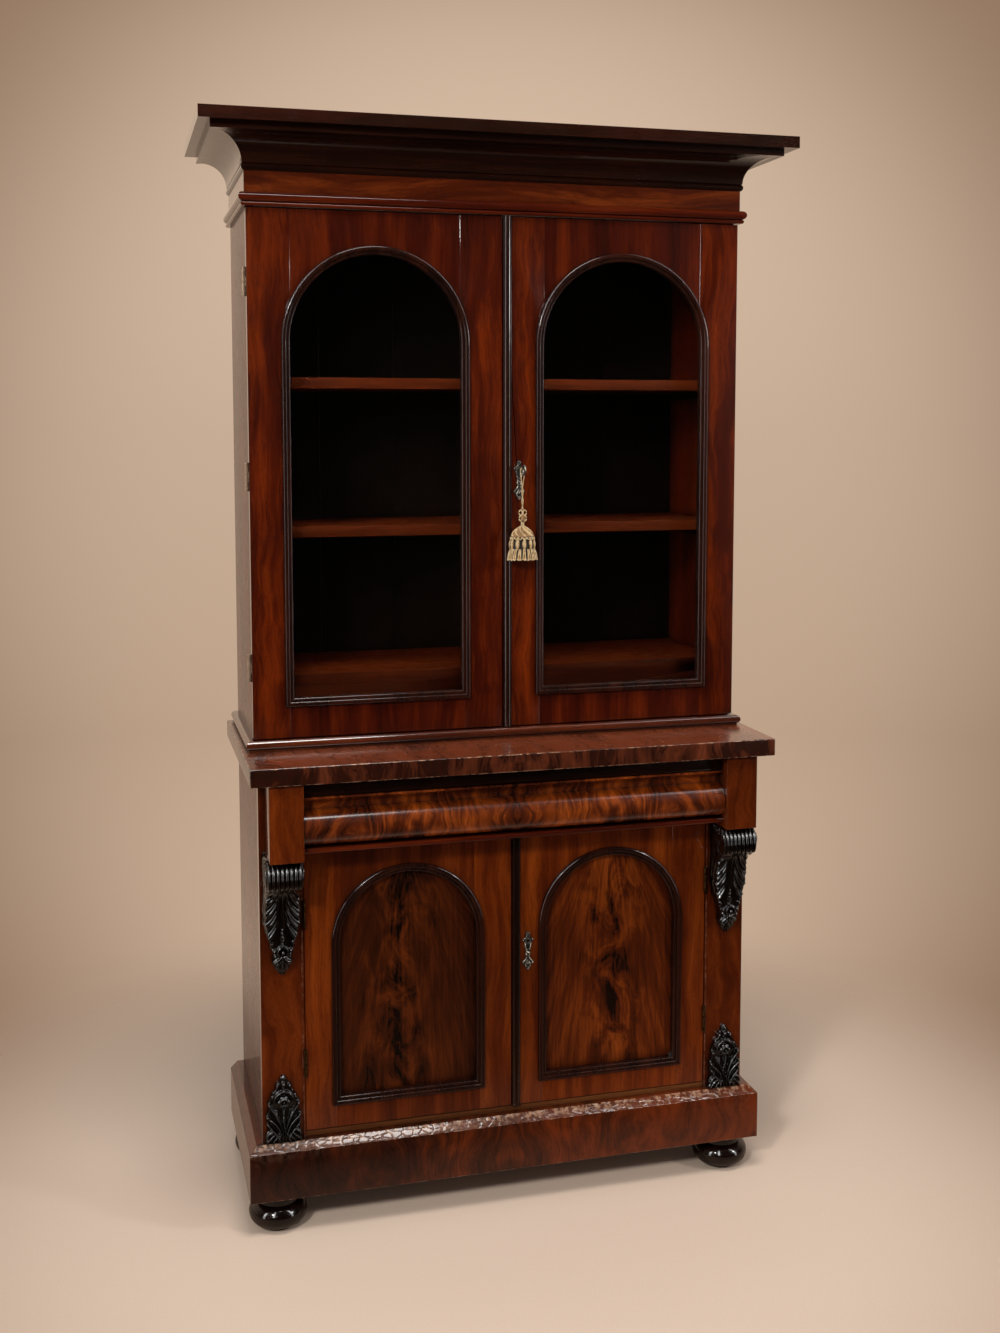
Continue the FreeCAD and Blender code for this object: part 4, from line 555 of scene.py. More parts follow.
def make_glass():
    """Old sheet glass: faintly uneven, and lamps reach the shelves through it."""
    material, recipe = new_material("window_glass")
    ripple = recipe.noise(recipe.mapped(recipe.place(), scale=(1, 1, 0.4)), 7.0, 2.0, 0.4)
    tint = recipe.ramp(ripple, (0.3, (0.93, 0.95, 0.93, 1)), (0.7, (0.97, 0.98, 0.97, 1)))
    glass = recipe.principled(Base_Color=tint, Roughness=0.0, IOR=1.45, Transmission_Weight=1.0)
    clear = recipe.node("ShaderNodeBsdfTransparent", {"Color": (0.62, 0.63, 0.62, 1)}).outputs["BSDF"]
    shadow_ray = recipe.node("ShaderNodeLightPath").outputs["Is Shadow Ray"]
    recipe.finish(recipe.mixed(shadow_ray, glass, clear))
    return material


def make_silk(name, dark, middle, light):
    """Yarn of twisted fibres, uneven in colour: the shadow lines between yarns come from the geometry, and
    from a core toned near black as painted shade.
    """
    material, recipe = new_material(name)
    tone = recipe.noise(recipe.place(), 160.0, 3.0, 0.6)
    fibre = recipe.noise(recipe.mapped(recipe.place(), scale=(1, 1, 0.25)), 3200.0, 2.0, 0.5)
    recipe.finish(recipe.principled(
        Base_Color=recipe.ramp(tone, (0.32, dark), (0.5, middle), (0.7, light)),
        Roughness=0.62,
        Normal=recipe.bump(fibre, 0.0002, 0.5),
        Sheen_Weight=0.4,
        Sheen_Roughness=0.4,
    ))
    return material


CREAM, GOLD, TAN, CORE = range(4)
silk_tones = [
    make_silk("silk_cream", *shades((180, 146, 98), (210, 182, 136), (232, 210, 170))),
    make_silk("silk_gold", *shades((124, 86, 44), (164, 124, 74), (200, 164, 112))),
    make_silk("silk_tan", *shades((70, 44, 22), (96, 64, 34), (124, 90, 54))),
    # near black: painted shade in the tassel's gaps
    make_silk("silk_core", *shades((20, 11, 6), (28, 16, 9), (38, 24, 14))),
]


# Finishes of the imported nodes.


def dress(material, *names):
    for name in names:
        mesh = nodes[name].data
        mesh.materials.clear()
        mesh.materials.append(material)


# Of each door's stiles, then of its rails: tones, shift, swirl, its size, bands to a metre, and patina.
DOOR_WOODS = {
    "upper_left": (
        (STILE, (0.7, 0.1, 0.2), 0.07, 4.2, 26.0, 0.4),
        (RAIL, (7.2, 0.3, 0.6), 0.05, 2.6, 20.0),
    ),
    "upper_right": (
        (STILE, (2.3, 0.4, 0.9), 0.07, 4.2, 26.0, 0.4),
        (RAIL, (8.6, 0.7, 1.4), 0.05, 2.6, 20.0),
    ),
    "lower_left": (
        (GOLDEN, (4.1, 0.2, 1.6), 0.04, 4.5, 30.0, 0.35),
        (BROWN, (9.4, 0.1, 1.8), 0.03, 2.5, 24.0),
    ),
    "lower_right": (
        (GOLDEN, (5.7, 0.5, 2.4), 0.04, 4.5, 30.0, 0.35),
        (GOLDEN, (10.3, 0.2, 2.2), 0.03, 2.5, 24.0),
    ),
}
for side, (stile, rail) in DOOR_WOODS.items():
    dress(wood(f"stile_{side}", "z", *stile), f"{side}_door_stiles")
    dress(wood(f"rail_{side}", "z", *rail), f"{side}_door_rails")

dress(wood("side_boards", "z", REDDISH, (1.4, 0.9, 0.3), 0.03, 1.6, 12.0, gloss=WAXED, wear=0.5),
      "upper_sides", "base_sides")
dress(wood("pilaster_wood", "z", BROWN, (3.2, 0.4, 1.1), 0.1, 6.0, wear=0.3), "pilasters", "bracket_blocks")
dress(wood("frieze_veneer", "round", FRIEZE, (0.4, 0, 0.8), 0.09, 3.2, 34.0), "frieze")
dress(wood("cornice_wood", "round", DEEP, (1.9, 0, 0.2), 0.02, 2.0, 22.0), "cove")
dress(wood("waist_wood", "round", WAIST, (2.9, 0, 0.5), 0.03, 2.0, 26.0, gloss=RUBBED), "waist_moulding")
dress(wood("astragal_wood", "round", REDDISH, (2.6, 0, 0.7), 0.02, 2.0, 30.0), "astragal")
dress(wood("top_board_wood", "x", DEEP, (3.3, 0.2, 0.4), 0.05, 3.0, 18.0),
      "cornice_top_board", "upper_top_board")
dress(flame_veneer("slab_veneer", SLAB, (4.7, 0.6, 0.1), 0.0, 0.05, 0.26, SATIN, 0.9, top_highlight=True),
      "waist_slab")
dress(flame_veneer("bolster_veneer", BOLSTER, (6.1, 0.3, 0.5), 0.3, 0.02, 0.4, SATIN), "drawer_front")
dress(flame_veneer("plinth_veneer", EDGE_FLAME, (5.3, 0.1, 0.9), 0.06, 0.16, 0.24, wear=0.8, chamfer=True),
      "plinth_front")
dress(wood("plinth_side_wood", "y", REDDISH, (2.2, 0.6, 0.4)), "plinth_returns")
dress(wood("rail_under_slab_wood", "x", DEEP, (7.7, 0.4, 0.3), 0.08, 4.0, 18.0), "rail_under_slab")
dress(wood("drawer_rail_wood", "x", REDDISH, (8.2, 0.4, 0.9)), "drawer_rail")
dress(wood("shelf_wood", "x", SHELF, (9.1, 0.2, 0.6), 0.02, 2.0, 30.0, gloss=MATT),
      "bookshelves", "upper_floor_and_fascia")
dress(wood("bead_wood", "z", DEEP, (6.6, 0.4, 0.2)), "upper_centre_bead", "lower_centre_bead")
dress(wood("plain_boards", "z", SHADED, (1.1, 0.5, 0.7), 0.02, 2.0, 16.0, 0.35, gloss=MATT),
      "upper_back_boards", "base_back_boards", "shelf_bearers")
dress(wood("plain_shelves", "x", PALE, (2.1, 0.5, 0.7), 0.02, 2.0, 16.0, gloss=DULL),
      "cupboard_shelf", "base_floor", "drawer_bottom", "drawer_runners")
dress(wood("drawer_sides", "y", PALE, (3.1, 0.5, 0.7), 0.02, 2.0, 16.0, gloss=DULL), "drawer_sides_and_back")
dress(crotch("panel_left_figure", -0.24075, 0.79, PANEL, 0.04, (0.35, 0, 0.6)), "lower_left_door_panel")
dress(crotch("panel_right_figure", 0.23075, 0.80, FLAME, -0.02, (1.25, 0, 1.9)), "lower_right_door_panel")
dress(wood("moulding_wood", "z", MOULDING, (0.2, 0.2, 0.9)),
      *(f"{side}_door_moulding" for side in DOOR_WOODS))

ebony = carved_wood("ebonised_mahogany", srgb(5, 3, 2), srgb(24, 12, 7))
flank_ebony = carved_wood("ebonised_flank", srgb(8, 4, 2), srgb(26, 14, 9), 0.4)
dress(ebony, "corbels", "base_carvings")
dress(carved_wood("ebonised_feet", srgb(7, 3, 2), srgb(28, 13, 7), 0.5), "bun_feet")
dress(hinge_metal("hinge_brass"), "frame_hinge_leaves", *(f"{side}_door_hinge_leaves" for side in DOOR_WOODS))
dress(metal("lock_brass", srgb(110, 80, 36), srgb(190, 154, 88), 0.25),
      "upper_lock", "upper_lock_bolt", "lower_lock")
dress(metal("key_steel", srgb(90, 84, 74), srgb(170, 164, 152), 0.3, 300.0), "key")
dress(make_glass(), "upper_left_door_glass", "upper_right_door_glass")


# Worn arrises: the sharp edges of the listed boards and of the doors' stiles and rails are eased a little, so
# that they catch the light.

SMOOTH_BELOW = math.radians(20.0)
EASED_ABOVE = math.radians(35.0)
BOARD_EASE, DOOR_EASE = 0.9 * MM, 0.6 * MM
EASED_BOARDS = ("upper_sides", "base_sides", "waist_slab", "plinth_front", "bracket_blocks",
                "upper_floor_and_fascia", "bookshelves", "rail_under_slab")


def make_smoother():
    """A modifier's node group: smooth shading, with edges that turn by more than the limit left sharp."""
    group = bpy.data.node_groups.new("smooth_by_angle", "GeometryNodeTree")
    group.interface.new_socket("Geometry", in_out="INPUT", socket_type="NodeSocketGeometry")
    group.interface.new_socket("Geometry", in_out="OUTPUT", socket_type="NodeSocketGeometry")
    make, link = group.nodes.new, group.links.new
    entry, leave = make("NodeGroupInput"), make("NodeGroupOutput")
    forget = make("GeometryNodeRemoveAttribute")
    forget.inputs["Name"].default_value = "custom_normal"
    faces = make("GeometryNodeSetShadeSmooth")
    edges = make("GeometryNodeSetShadeSmooth")
    edges.domain = "EDGE"
    edges.inputs["Shade Smooth"].default_value = False
    turn = make("GeometryNodeInputMeshEdgeAngle")
    limit = make("FunctionNodeCompare")
    limit.operation = "GREATER_THAN"
    limit.inputs["B"].default_value = SMOOTH_BELOW
    link(entry.outputs[0], forget.inputs["Geometry"])
    link(forget.outputs[0], faces.inputs["Geometry"])
    link(faces.outputs[0], edges.inputs["Geometry"])
    link(turn.outputs["Unsigned Angle"], limit.inputs["A"])
    link(limit.outputs["Result"], edges.inputs["Selection"])
    link(edges.outputs[0], leave.inputs[0])
    return group


smoother = make_smoother()


def ease_edges(name, width):
    """Joins the node's split edges and rounds them. Its mesh itself stays as packed."""
    item = nodes[name]
    weld = item.modifiers.new("weld", "WELD")
    weld.merge_threshold = 0.00001
    bevel = item.modifiers.new("bevel", "BEVEL")
    bevel.width = width
    bevel.segments = 2
    bevel.limit_method = "ANGLE"
    bevel.angle_limit = EASED_ABOVE
    item.modifiers.new("smooth", "NODES").node_group = smoother


for name in EASED_BOARDS:
    ease_edges(name, BOARD_EASE)
for side in DOOR_WOODS:
    ease_edges(f"{side}_door_stiles", DOOR_EASE)
    ease_edges(f"{side}_door_rails", DOOR_EASE)


# The cord round the key: it goes up from the tassel, over the key behind its bow, and down again.

# Below the key its two runs are twisted about each other by a turn and a half.
CORD_ROUTE = (
    (0.0355, -0.1140, 1.536),
    (0.0370, -0.1159, 1.546),
    (0.0389, -0.1140, 1.556),
    (0.0370, -0.1121, 1.566),
    (0.0351, -0.1140, 1.576),
    (0.0370, -0.1159, 1.586),
    (0.0391, -0.1140, 1.597),
    (0.0411, -0.1140, 1.610),
    (0.0418, -0.1140, 1.6263),
    (0.0322, -0.1140, 1.6263),
    (0.0329, -0.1140, 1.610),
    (0.0349, -0.1140, 1.597),
    (0.0370, -0.1121, 1.586),
    (0.0389, -0.1140, 1.576),
    (0.0370, -0.1159, 1.566),
    (0.0351, -0.1140, 1.556),
    (0.0370, -0.1121, 1.546),
    (0.0385, -0.1140, 1.536),
)
CORD_DIAMETER = 0.0024
CORD_STRANDS = 3
CORD_LAY = 0.011  # one turn of its strands
CORD_STEPS = 190


def route_line(points):
    """The smooth line of a route, as Blender gives it."""
    curve = bpy.data.curves.new("route", "CURVE")
    curve.dimensions = "3D"
    curve.resolution_u = 24
    spline = curve.splines.new("NURBS")
    spline.points.add(len(points) - 1)
    for place, point in zip(spline.points, points):
        place.co = (*point, 1.0)
    spline.order_u = 3
    spline.use_endpoint_u = True
    item = bpy.data.objects.new("route", curve)
    line = bpy.data.meshes.new_from_object(item)
    found = np.array([vertex.co for vertex in line.vertices])
    bpy.data.objects.remove(item)
    return found


def make_cord():
    """A laid cord of three strands."""
    middle, at = evenly(route_line(CORD_ROUTE), CORD_STEPS, 3)
    one, two = line_frames(middle)
    strand = CORD_DIAMETER * 0.25
    away = CORD_DIAMETER / 2 - strand
    paths = []
    for number in range(CORD_STRANDS):
        turn = FULL_TURN * (at / CORD_LAY + number / CORD_STRANDS)
        paths.append(middle + away * (np.cos(turn)[:, None] * one + np.sin(turn)[:, None] * two))
    item = tubes("cord_on_key", paths, [strand] * CORD_STRANDS)
    item.data.materials.append(silk_tones[CREAM])
    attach(item, "tassel")
    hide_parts("tassel_cord")
    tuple(CORD_ROUTE[0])


make_cord()


# Relief. Heights over a grid of places, in millimetres: X across from the middle, Z down from the top.

FINE_STEPS = 1200  # points of a smooth line before it is divided evenly
CORNER_SHARE = 0.45  # a rounded corner takes no more than this share of the depth or the half width


def smooth_path(points, pieces=28):
    """A Catmull-Rom line through the points, evenly divided. Every column of the points is carried along."""
    points = np.array(points, float)
    ends = np.vstack([2 * points[0] - points[1], points, 2 * points[-1] - points[-2]])
    spans = len(points) - 1
    at = np.linspace(0, spans - 1e-9, pieces)
    index = at.astype(int)
    t = (at - index)[:, None]
    a, b, c, d = (ends[index + k] for k in range(4))
    return 0.5 * (2 * b + (c - a) * t + (2 * a - 5 * b + 4 * c - d) * t**2 + (3 * b - a - 3 * c + d) * t**3)


def near(X, Z, path):
    """Distance of every grid point from a line, and how far along it is, from 0 to 1."""
    best = np.full(X.shape, 1e9)
    along = np.zeros(X.shape)
    count = len(path) - 1
    for index in range(count):
        ax, az = path[index]
        bx, bz = path[index + 1]
        length = max((bx - ax) ** 2 + (bz - az) ** 2, 1e-9)
        t = np.clip(((X - ax) * (bx - ax) + (Z - az) * (bz - az)) / length, 0, 1)
        distance = np.hypot(X - ax - t * (bx - ax), Z - az - t * (bz - az))
        closer = distance < best
        best = np.where(closer, distance, best)
        along = np.where(closer, (index + t) / count, along)
    return best, along


def highest(heights):
    return np.max(list(heights), axis=0)


def fade(value, start, reach):
    """Rises from 0 at the start to 1 a reach further on. With a reach below 0 it falls to 0 at the start."""
    return np.clip((value - start) / reach, 0, 1)


def dome(share):
    """A half-round section: 1 in the middle and 0 from a share of 1 on."""
    return np.sqrt(np.clip(1 - share**2, 0, 1))


def ridge(X, Z, points, width, height):
    """A rounded ridge that tapers to both ends."""
    distance, along = near(X, Z, smooth_path(points))
    size = width * (0.55 + 0.45 * np.sin(np.clip(along, 0, 1) * math.pi))
    return height * dome(distance / size)


def ridges(X, Z, lines):
    """Ridges left and right of the middle: each line has its points, width and height."""
    return highest(
        ridge(X, Z, [(side * x, z) for x, z in points], width, height)
        for points, width, height in lines
        for side in (1, -1)
    )


def ball(X, Z, x, z, radius, height):
    return height * dome(np.hypot(X - x, Z - z) / radius)


def balls(X, Z, places, height=None):
    """Balls left and right of the middle: X, Z and radius, which is also the height if none is given."""
    return highest(
        ball(X, Z, side * x, z, radius, height or radius) for x, z, radius in places for side in (1, -1)
    )


def ring(X, Z, z, radius, width, height):
    """A ring about a point of the middle line."""
    return height * dome(np.abs(np.hypot(X, Z - z) - radius) / width)


def petals(X, Z, z, radius, count, height):
    """A round flower with a hollow middle."""
    turn = np.arctan2(Z - z, X)
    wave = np.abs(np.cos(turn * count / 2))
    share = np.hypot(X, Z - z) / (radius * (0.78 + 0.22 * wave))
    return height * np.where(share < 1, dome((share - 0.6) / 0.4) * (0.7 + 0.3 * wave), 0)


def table_of(points, count):
    """Rows evenly spaced along a smooth line through the given ones."""
    return evenly(smooth_path(points, FINE_STEPS), count, 2)[0]


def lofted(name, middle, face, top, rows, relief, side_relief, counts, corner, hand):
    """A closed mesh, lofted row by row.

    rows are (millimetres below the top, forward of the face, half width). relief(X, Z) raises the front
    and side_relief(D, Z) the sides, both in millimetres. counts are the columns of a side, a corner and
    half the front. hand is 1 or -1, and mirrors the piece.
    """
    down, forward, half = rows.T
    tangent = np.column_stack([np.gradient(forward), np.gradient(down)])
    tangent /= np.linalg.norm(tangent, axis=1)[:, None]
    lean_out, lean_down = tangent[:, 1], -tangent[:, 0]
    sides, turns, fronts = counts
    radius = np.minimum(corner, CORNER_SHARE * np.minimum(forward, half))
    columns = []
    for t in np.linspace(0, 1, sides, endpoint=False):
        columns.append((half, t * (forward - radius), 1.0, 0.0))
    for angle in np.linspace(0, 1, turns, endpoint=False) * math.pi / 2:
        out, toward = math.cos(angle), math.sin(angle)
        columns.append((half - radius + radius * out, forward - radius + radius * toward, out, toward))
    for t in np.linspace(1, 0, fronts):
        columns.append(((half - radius) * t, forward, 0.0, 1.0))
    columns += [(-x, depth, -out, toward) for x, depth, out, toward in columns[-2::-1]]
    blank = np.zeros_like(down)
    X, D, out, toward = (np.stack([column[part] + blank for column in columns], axis=1) for part in range(4))
    Z = np.repeat(down[:, None], X.shape[1], axis=1)
    rise = relief(X, Z) * toward
    place = np.empty((*X.shape, 3))
    place[..., 0] = middle + hand * (X + side_relief(D, Z) * out) * MM
    place[..., 1] = face - np.maximum(D + rise * lean_out[:, None], 0) * MM
    place[..., 2] = top - (Z + rise * lean_down[:, None]) * MM
    return closed_mesh(name, place)


# Corbels and the carvings at the pilasters' feet.

COCK_BEAD_STAND = 0.002
PILASTER_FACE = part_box("pilasters")[0][1] + COCK_BEAD_STAND
CARVING_HALF = {"corbels": 0.040, "base_carvings": 0.039}
CARVING_DEPTH = 1.5  # how much deeper the carving is cut than its lines say
CARVING_GROUND = -4.0
FLANK_TURN = 0.8  # faces that look this much sideways are the flanks, which nobody polishes

# Millimetres below the block, forward of the pilaster, half width.
CORBEL_ROWS = (
    (0.5, 59, 37), (3, 67, 38), (9, 76, 38.5), (16, 82, 38.5), (24, 86, 38.3), (33, 88.5, 38),
    (42, 89, 37.8), (51, 87.5, 37.5), (58, 83, 37), (64, 74, 36.5), (69, 62, 36), (75, 51, 36),
    (84, 44, 36.5), (96, 39, 37), (106, 36.5, 38), (116, 35, 39), (124, 34, 38), (132, 33, 37.5),
    (143, 31.5, 39), (152, 30, 36), (160, 29, 34), (170, 29, 34), (178, 29, 31), (186, 29.5, 27),
    (194, 31, 26), (199, 32, 23), (206, 33, 21.5), (214, 31, 20), (220, 28, 18.5), (227, 26, 21),
    (234, 24, 20.5), (240, 21, 17), (247, 19, 14), (253, 16, 10), (259, 13, 6), (262.8, 11.6, 1.5),
)
GADROONS, GADROON_SPAN, GADROON_HEIGHT = 8, 74.0, 4.8
GADROON_PITCH = GADROON_SPAN / GADROONS
ROLL_START, ROLL_END = 1, 63
FROND_PITCH = 26.0  # the fronds' tips are this far apart down the edge
FROND_FIRST = 14.0  # where the first one leaves the middle
FROND_FALL = 78.0  # how far each falls on its way out
FROND_REACH = 36.0
FROND_BEND = 0.52
FROND_TOP, FROND_END = 58, 192
EYE = 207
CORBEL_CURLS = ((35, 119, 3.8), (35, 145, 3.8), (31, 170, 3.8), (23, 189, 3.6), (34.5, 93, 3.4))
CORBEL_BEADS = ((0, 160, 2.6), (0, 168, 2.5), (0, 176, 2.4), (0, 184, 2.3), (0, 191.5, 2.2))
CORBEL_LEAF = (
    (((4, 221), (10, 227), (18, 231)), 2.8, 5.0),
    (((3, 229), (8, 237), (13, 244)), 2.6, 4.8),
    (((0, 222), (0, 240), (0, 260)), 3.0, 5.4),
    (((2.4, 238), (4.6, 247), (6, 254)), 2.2, 4.4),
)
SIDE_SCROLLS = (
    (((80, 4), (82, 36), (70, 62), (52, 66), (38, 48), (34, 6)), 3.2, 3.4),
    (((66, 6), (66, 34), (58, 48), (50, 40), (48, 8)), 2.8, 3.0),
    (((60, 68), (40, 80), (29, 98), (22, 124), (18, 165)), 3.0, 2.8),
    (((24, 6), (20, 50), (14, 92), (9, 128)), 2.8, 2.4),
)


def long_fronds(X, Z):
    """Nested S-shaped fronds that leave a spine and sweep out to the edges, with a furrow between them."""
    out = np.clip((np.abs(X) - 2.0) / FROND_REACH, 0.0, 1.05)
    start = Z - FROND_FALL * out**FROND_BEND - 4.0 * np.sin(out * math.pi)
    phase = (start - FROND_FIRST) / FROND_PITCH
    count = np.floor(phase)
    phase = phase - count
    room = np.clip(out / 0.35, 0.12, 1.0)
    body = np.sqrt(np.clip(1 - np.abs(2 * phase - 1) ** 2.2, 0, 1))
    flute = np.exp(-(((phase - 0.42) / 0.13) ** 2))
    there = (count >= -1) & (count <= 3)
    return np.where(there, room * (5.4 * body - 1.9 * flute), 0)


def corbel_relief(X, Z):
    """Gadroons over the roll, long fronds under it with a smooth spine, beads, an eye and a leaf."""
    across = np.abs((X / GADROON_PITCH) % 1.0 - 0.5) * 2
    ends = fade(Z, ROLL_START, 5) * fade(Z, ROLL_END, -9)
    roll = GADROON_HEIGHT * np.sqrt(np.clip(1 - across**2, 0, 1) * ends) * (np.abs(X) < GADROON_SPAN / 2)
    spine_width = np.interp(Z, (60, 100, 150, 176), (1.6, 2.6, 7.0, 5.0))
    height = highest((
        roll,
        long_fronds(X, Z) * fade(Z, FROND_TOP, 10) * fade(Z, FROND_END, -6),
        3.6 * dome(X / spine_width) * fade(Z, FROND_TOP, 8) * fade(Z, 188, -10),
        balls(X, Z, CORBEL_CURLS, 6.2),
        balls(X, Z, CORBEL_BEADS, 6.4),
        ring(X, Z, EYE, 10.5, 2.6, 6.0),
        ball(X, Z, 0, EYE, 5.4, 7.5),
        balls(X, Z, ((17, 203, 4.4), (15.5, 215, 3.2)), 5.6),
        ridges(X, Z, CORBEL_LEAF),
    ))
    return CARVING_DEPTH * height + CARVING_GROUND


def corbel_side_relief(D, Z):
    """Two nested loops on a console's flank, open at the top, and a border down its front."""
    height = highest(
        rise * dome(near(D, Z, smooth_path(points, 40))[0] / width) for points, width, rise in SIDE_SCROLLS
    )
    return (height - 1.4) * fade(Z, 200, -30) * fade(D, 0, 3)


# Millimetres below its top, forward of the pilaster, half width.
BASE_ROWS = (
    (0.3, 6, 1.2), (4, 10, 5), (9, 12, 7), (14, 12, 9), (18, 12, 15.5), (22, 12, 18), (26, 12, 15),
    (30, 13, 17), (36, 14, 22.5), (44, 14.5, 27), (52, 14.5, 31), (58, 14.5, 34), (64, 14, 34),
    (70, 13.5, 31), (76, 13.5, 32.5), (83, 13.5, 37), (90, 13.5, 37.5), (95, 13.5, 34),
    (101, 13.5, 36.5), (107, 13.5, 36), (113, 14, 33.5), (121, 14.5, 36), (129, 15, 39),
    (136, 15, 37.5), (140, 15, 38.5), (143.7, 14, 38.6),
)
BASE_RIBS = (
    (((5, 114), (10, 97), (18, 81), (26, 69), (31, 60)), 3.1, 6.4),
    (((6, 126), (13, 109), (22, 98), (30, 91), (35, 86)), 3.0, 6.2),
    (((9, 138), (18, 123), (27, 112), (34, 102)), 2.9, 6.0),
    (((3, 120), (7, 104), (12, 92), (15, 79)), 2.3, 5.4),
    (((2.6, 120), (3.2, 131), (4, 143)), 2.4, 5.4),
    (((6, 124), (10, 133), (14, 143)), 2.5, 5.4),
    (((12, 127), (19, 135), (25, 143)), 2.6, 5.4),
    (((19, 124), (28, 131), (36, 141)), 2.7, 5.6),
    (((25, 118), (32, 122), (38, 131)), 2.5, 5.2),
)
FLOWER = 55
FINIAL_BALLS = ((0, 6, 3.4), (13.5, 20.5, 4.4), (0, 18, 5.0), (0, 28.5, 2.8))
RIB_BALLS = ((31, 60, 4.4), (34.5, 86, 4.0), (34, 102, 3.6), (15, 78, 3.0), (25, 44, 2.6))
SPINE_BEADS = (
    (0, 73, 2.8), (0, 80, 2.6), (0, 87, 2.9), (0, 95, 2.4), (0, 102, 2.2), (0, 109, 2.4), (0, 116, 2.1),
)


def base_relief(X, Z):
    """Finial, arched band over a flower, S-scrolls either side, beads, and ribs that spread to the foot."""
    turns = np.linspace(0.05, math.pi - 0.05, 15)
    height = highest((
        balls(X, Z, FINIAL_BALLS, 6.0),
        ridge(X, Z, [(22 * math.cos(turn), FLOWER - 22 * math.sin(turn)) for turn in turns], 3.2, 6.4),
        petals(X, Z, FLOWER, 15.0, 6, 5.4),
        ring(X, Z, FLOWER, 7.0, 2.2, 6.6),
        ball(X, Z, 0, FLOWER, 3.8, 8.4),
        ridges(X, Z, BASE_RIBS),
        balls(X, Z, RIB_BALLS + SPINE_BEADS, 7.0),
    ))
    return CARVING_DEPTH * height + CARVING_GROUND


def no_relief(D, Z):
    return np.zeros_like(D + Z)


def carved_pair(node, names, rows, relief, side_relief, counts, corner, row_count):
    """The left and right piece of a node, each a mirror of the other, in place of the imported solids."""
    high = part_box(node)[1]
    table = table_of(rows, row_count)
    for name, hand in zip(names, (-1, 1)):
        middle = hand * (high[0] - CARVING_HALF[node])
        item = lofted(name, middle, PILASTER_FACE, high[2], table, relief, side_relief, counts, corner, hand)
        item.data.materials.append(ebony)
        item.data.materials.append(flank_ebony)
        for face in item.data.polygons:
            face.material_index = int(abs(face.normal.x) > FLANK_TURN)
        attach(item, "root")
        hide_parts(node)


carved_pair("corbels", ("corbel_left", "corbel_right"), CORBEL_ROWS, corbel_relief, corbel_side_relief,
            counts=(26, 5, 60), corner=4.0, row_count=300)
carved_pair("base_carvings", ("base_carving_left", "base_carving_right"), BASE_ROWS, base_relief, no_relief,
            counts=(5, 4, 62), corner=3.0, row_count=190)


# Keyhole plates: cast bronze, with a real hole through them.

# Millimetres below the top, half width. The outline is the same on both sides.
PLATE_OUTLINE = (
    (0.3, 0.8), (2, 3.2), (5, 4.6), (9, 5.5), (13, 5), (15, 9.5), (17, 12.4), (19, 13), (21, 9.8),
    (23, 8), (28, 8.5), (36, 6.5), (44, 5), (50, 6.5), (56, 5), (61, 6.2), (64, 9), (67, 12.5),
    (70, 13), (73, 11), (75, 9), (79, 7), (83, 3.8), (87.8, 0.8),
)
PLATE_THICK = 1.5
PLATE_HOLLOW, PLATE_CREST = 0.9, 2.4  # how far forward of the plate its hollows and its crests are toned
PLATE_SCROLLS = (
    (((3, 11), (6, 13.5), (10.6, 16.5), (10.4, 20)), 1.7, 2.2),
    (((8, 23.5), (6.4, 28), (6.6, 33), (4.6, 38), (2.6, 42)), 1.7, 2.3),
    (((3.2, 46.5), (4.6, 50), (2.8, 53.5)), 1.5, 2.2),
    (((3.0, 57), (5, 61), (8, 64.5), (11, 68), (9.6, 71.5)), 1.7, 2.3),
    (((1.8, 64), (3, 69), (5.4, 74), (4.4, 79)), 1.4, 2.0),
    (((0.8, 80), (2, 82), (0.8, 86)), 1.4, 1.8),
)
PLATE_BALLS = (
    (10.2, 18.6, 1.5), (9.8, 70.4, 1.6), (3.6, 28.6, 1.1), (3.2, 57.2, 1.1),
    (0, 41, 1.6), (0, 53.5, 1.5), (0, 57, 1.2), (0, 86, 0.9),
)
KEYHOLE_DROP = 21
KEYHOLE_RADIUS = 3.1 * MM
KEYHOLE_SIDES = 28
SHELL = 62.0
SHARP_BORE = math.radians(60.0)


def plate_relief(X, Z):
    """C-scrolls down both edges, a ring at the top, a band across the waist, ears, a shell and a tip."""
    turn = np.arctan2(X, Z - SHELL)
    away = np.hypot(X, Z - SHELL)
    shell = (0.7 + 0.7 * np.abs(np.cos(turn * 6.0))) * fade(away, 15, -4) * fade(away, 0, 7)
    height = highest((
        ring(X, Z, 6, 3.2, 1.2, 1.3),
        ring(X, Z, KEYHOLE_DROP, 5.2, 1.1, 1.2),
        ridges(X, Z, PLATE_SCROLLS),
        ridge(X, Z, ((-4.4, 43.5), (-1, 46), (4.2, 49)), 1.8, 2.4),
        balls(X, Z, PLATE_BALLS),
        np.where(np.abs(turn) < 0.5, shell, 0),
    ))
    edge = np.interp(Z, [row[0] for row in PLATE_OUTLINE], [row[1] for row in PLATE_OUTLINE])
    return height * fade(edge - np.abs(X), 0, 0.7) ** 0.5


def bored(item, place, radius):
    """The item with a round hole through it, from front to back."""
    x, y, z = place
    reach = 0.02
    cutter = tubes("cutter", [[(x, y - reach, z), (x, y + reach, z)]], [radius], KEYHOLE_SIDES)
    boolean = item.modifiers.new("hole", "BOOLEAN")
    boolean.operation = "DIFFERENCE"
    boolean.solver = "EXACT"
    boolean.object = cutter
    cut_mesh = bpy.data.meshes.new_from_object(item.evaluated_get(bpy.context.evaluated_depsgraph_get()))
    item.modifiers.clear()
    item.data = cut_mesh
    cut_mesh.set_sharp_from_angle(angle=SHARP_BORE)
    bpy.data.objects.remove(cutter)


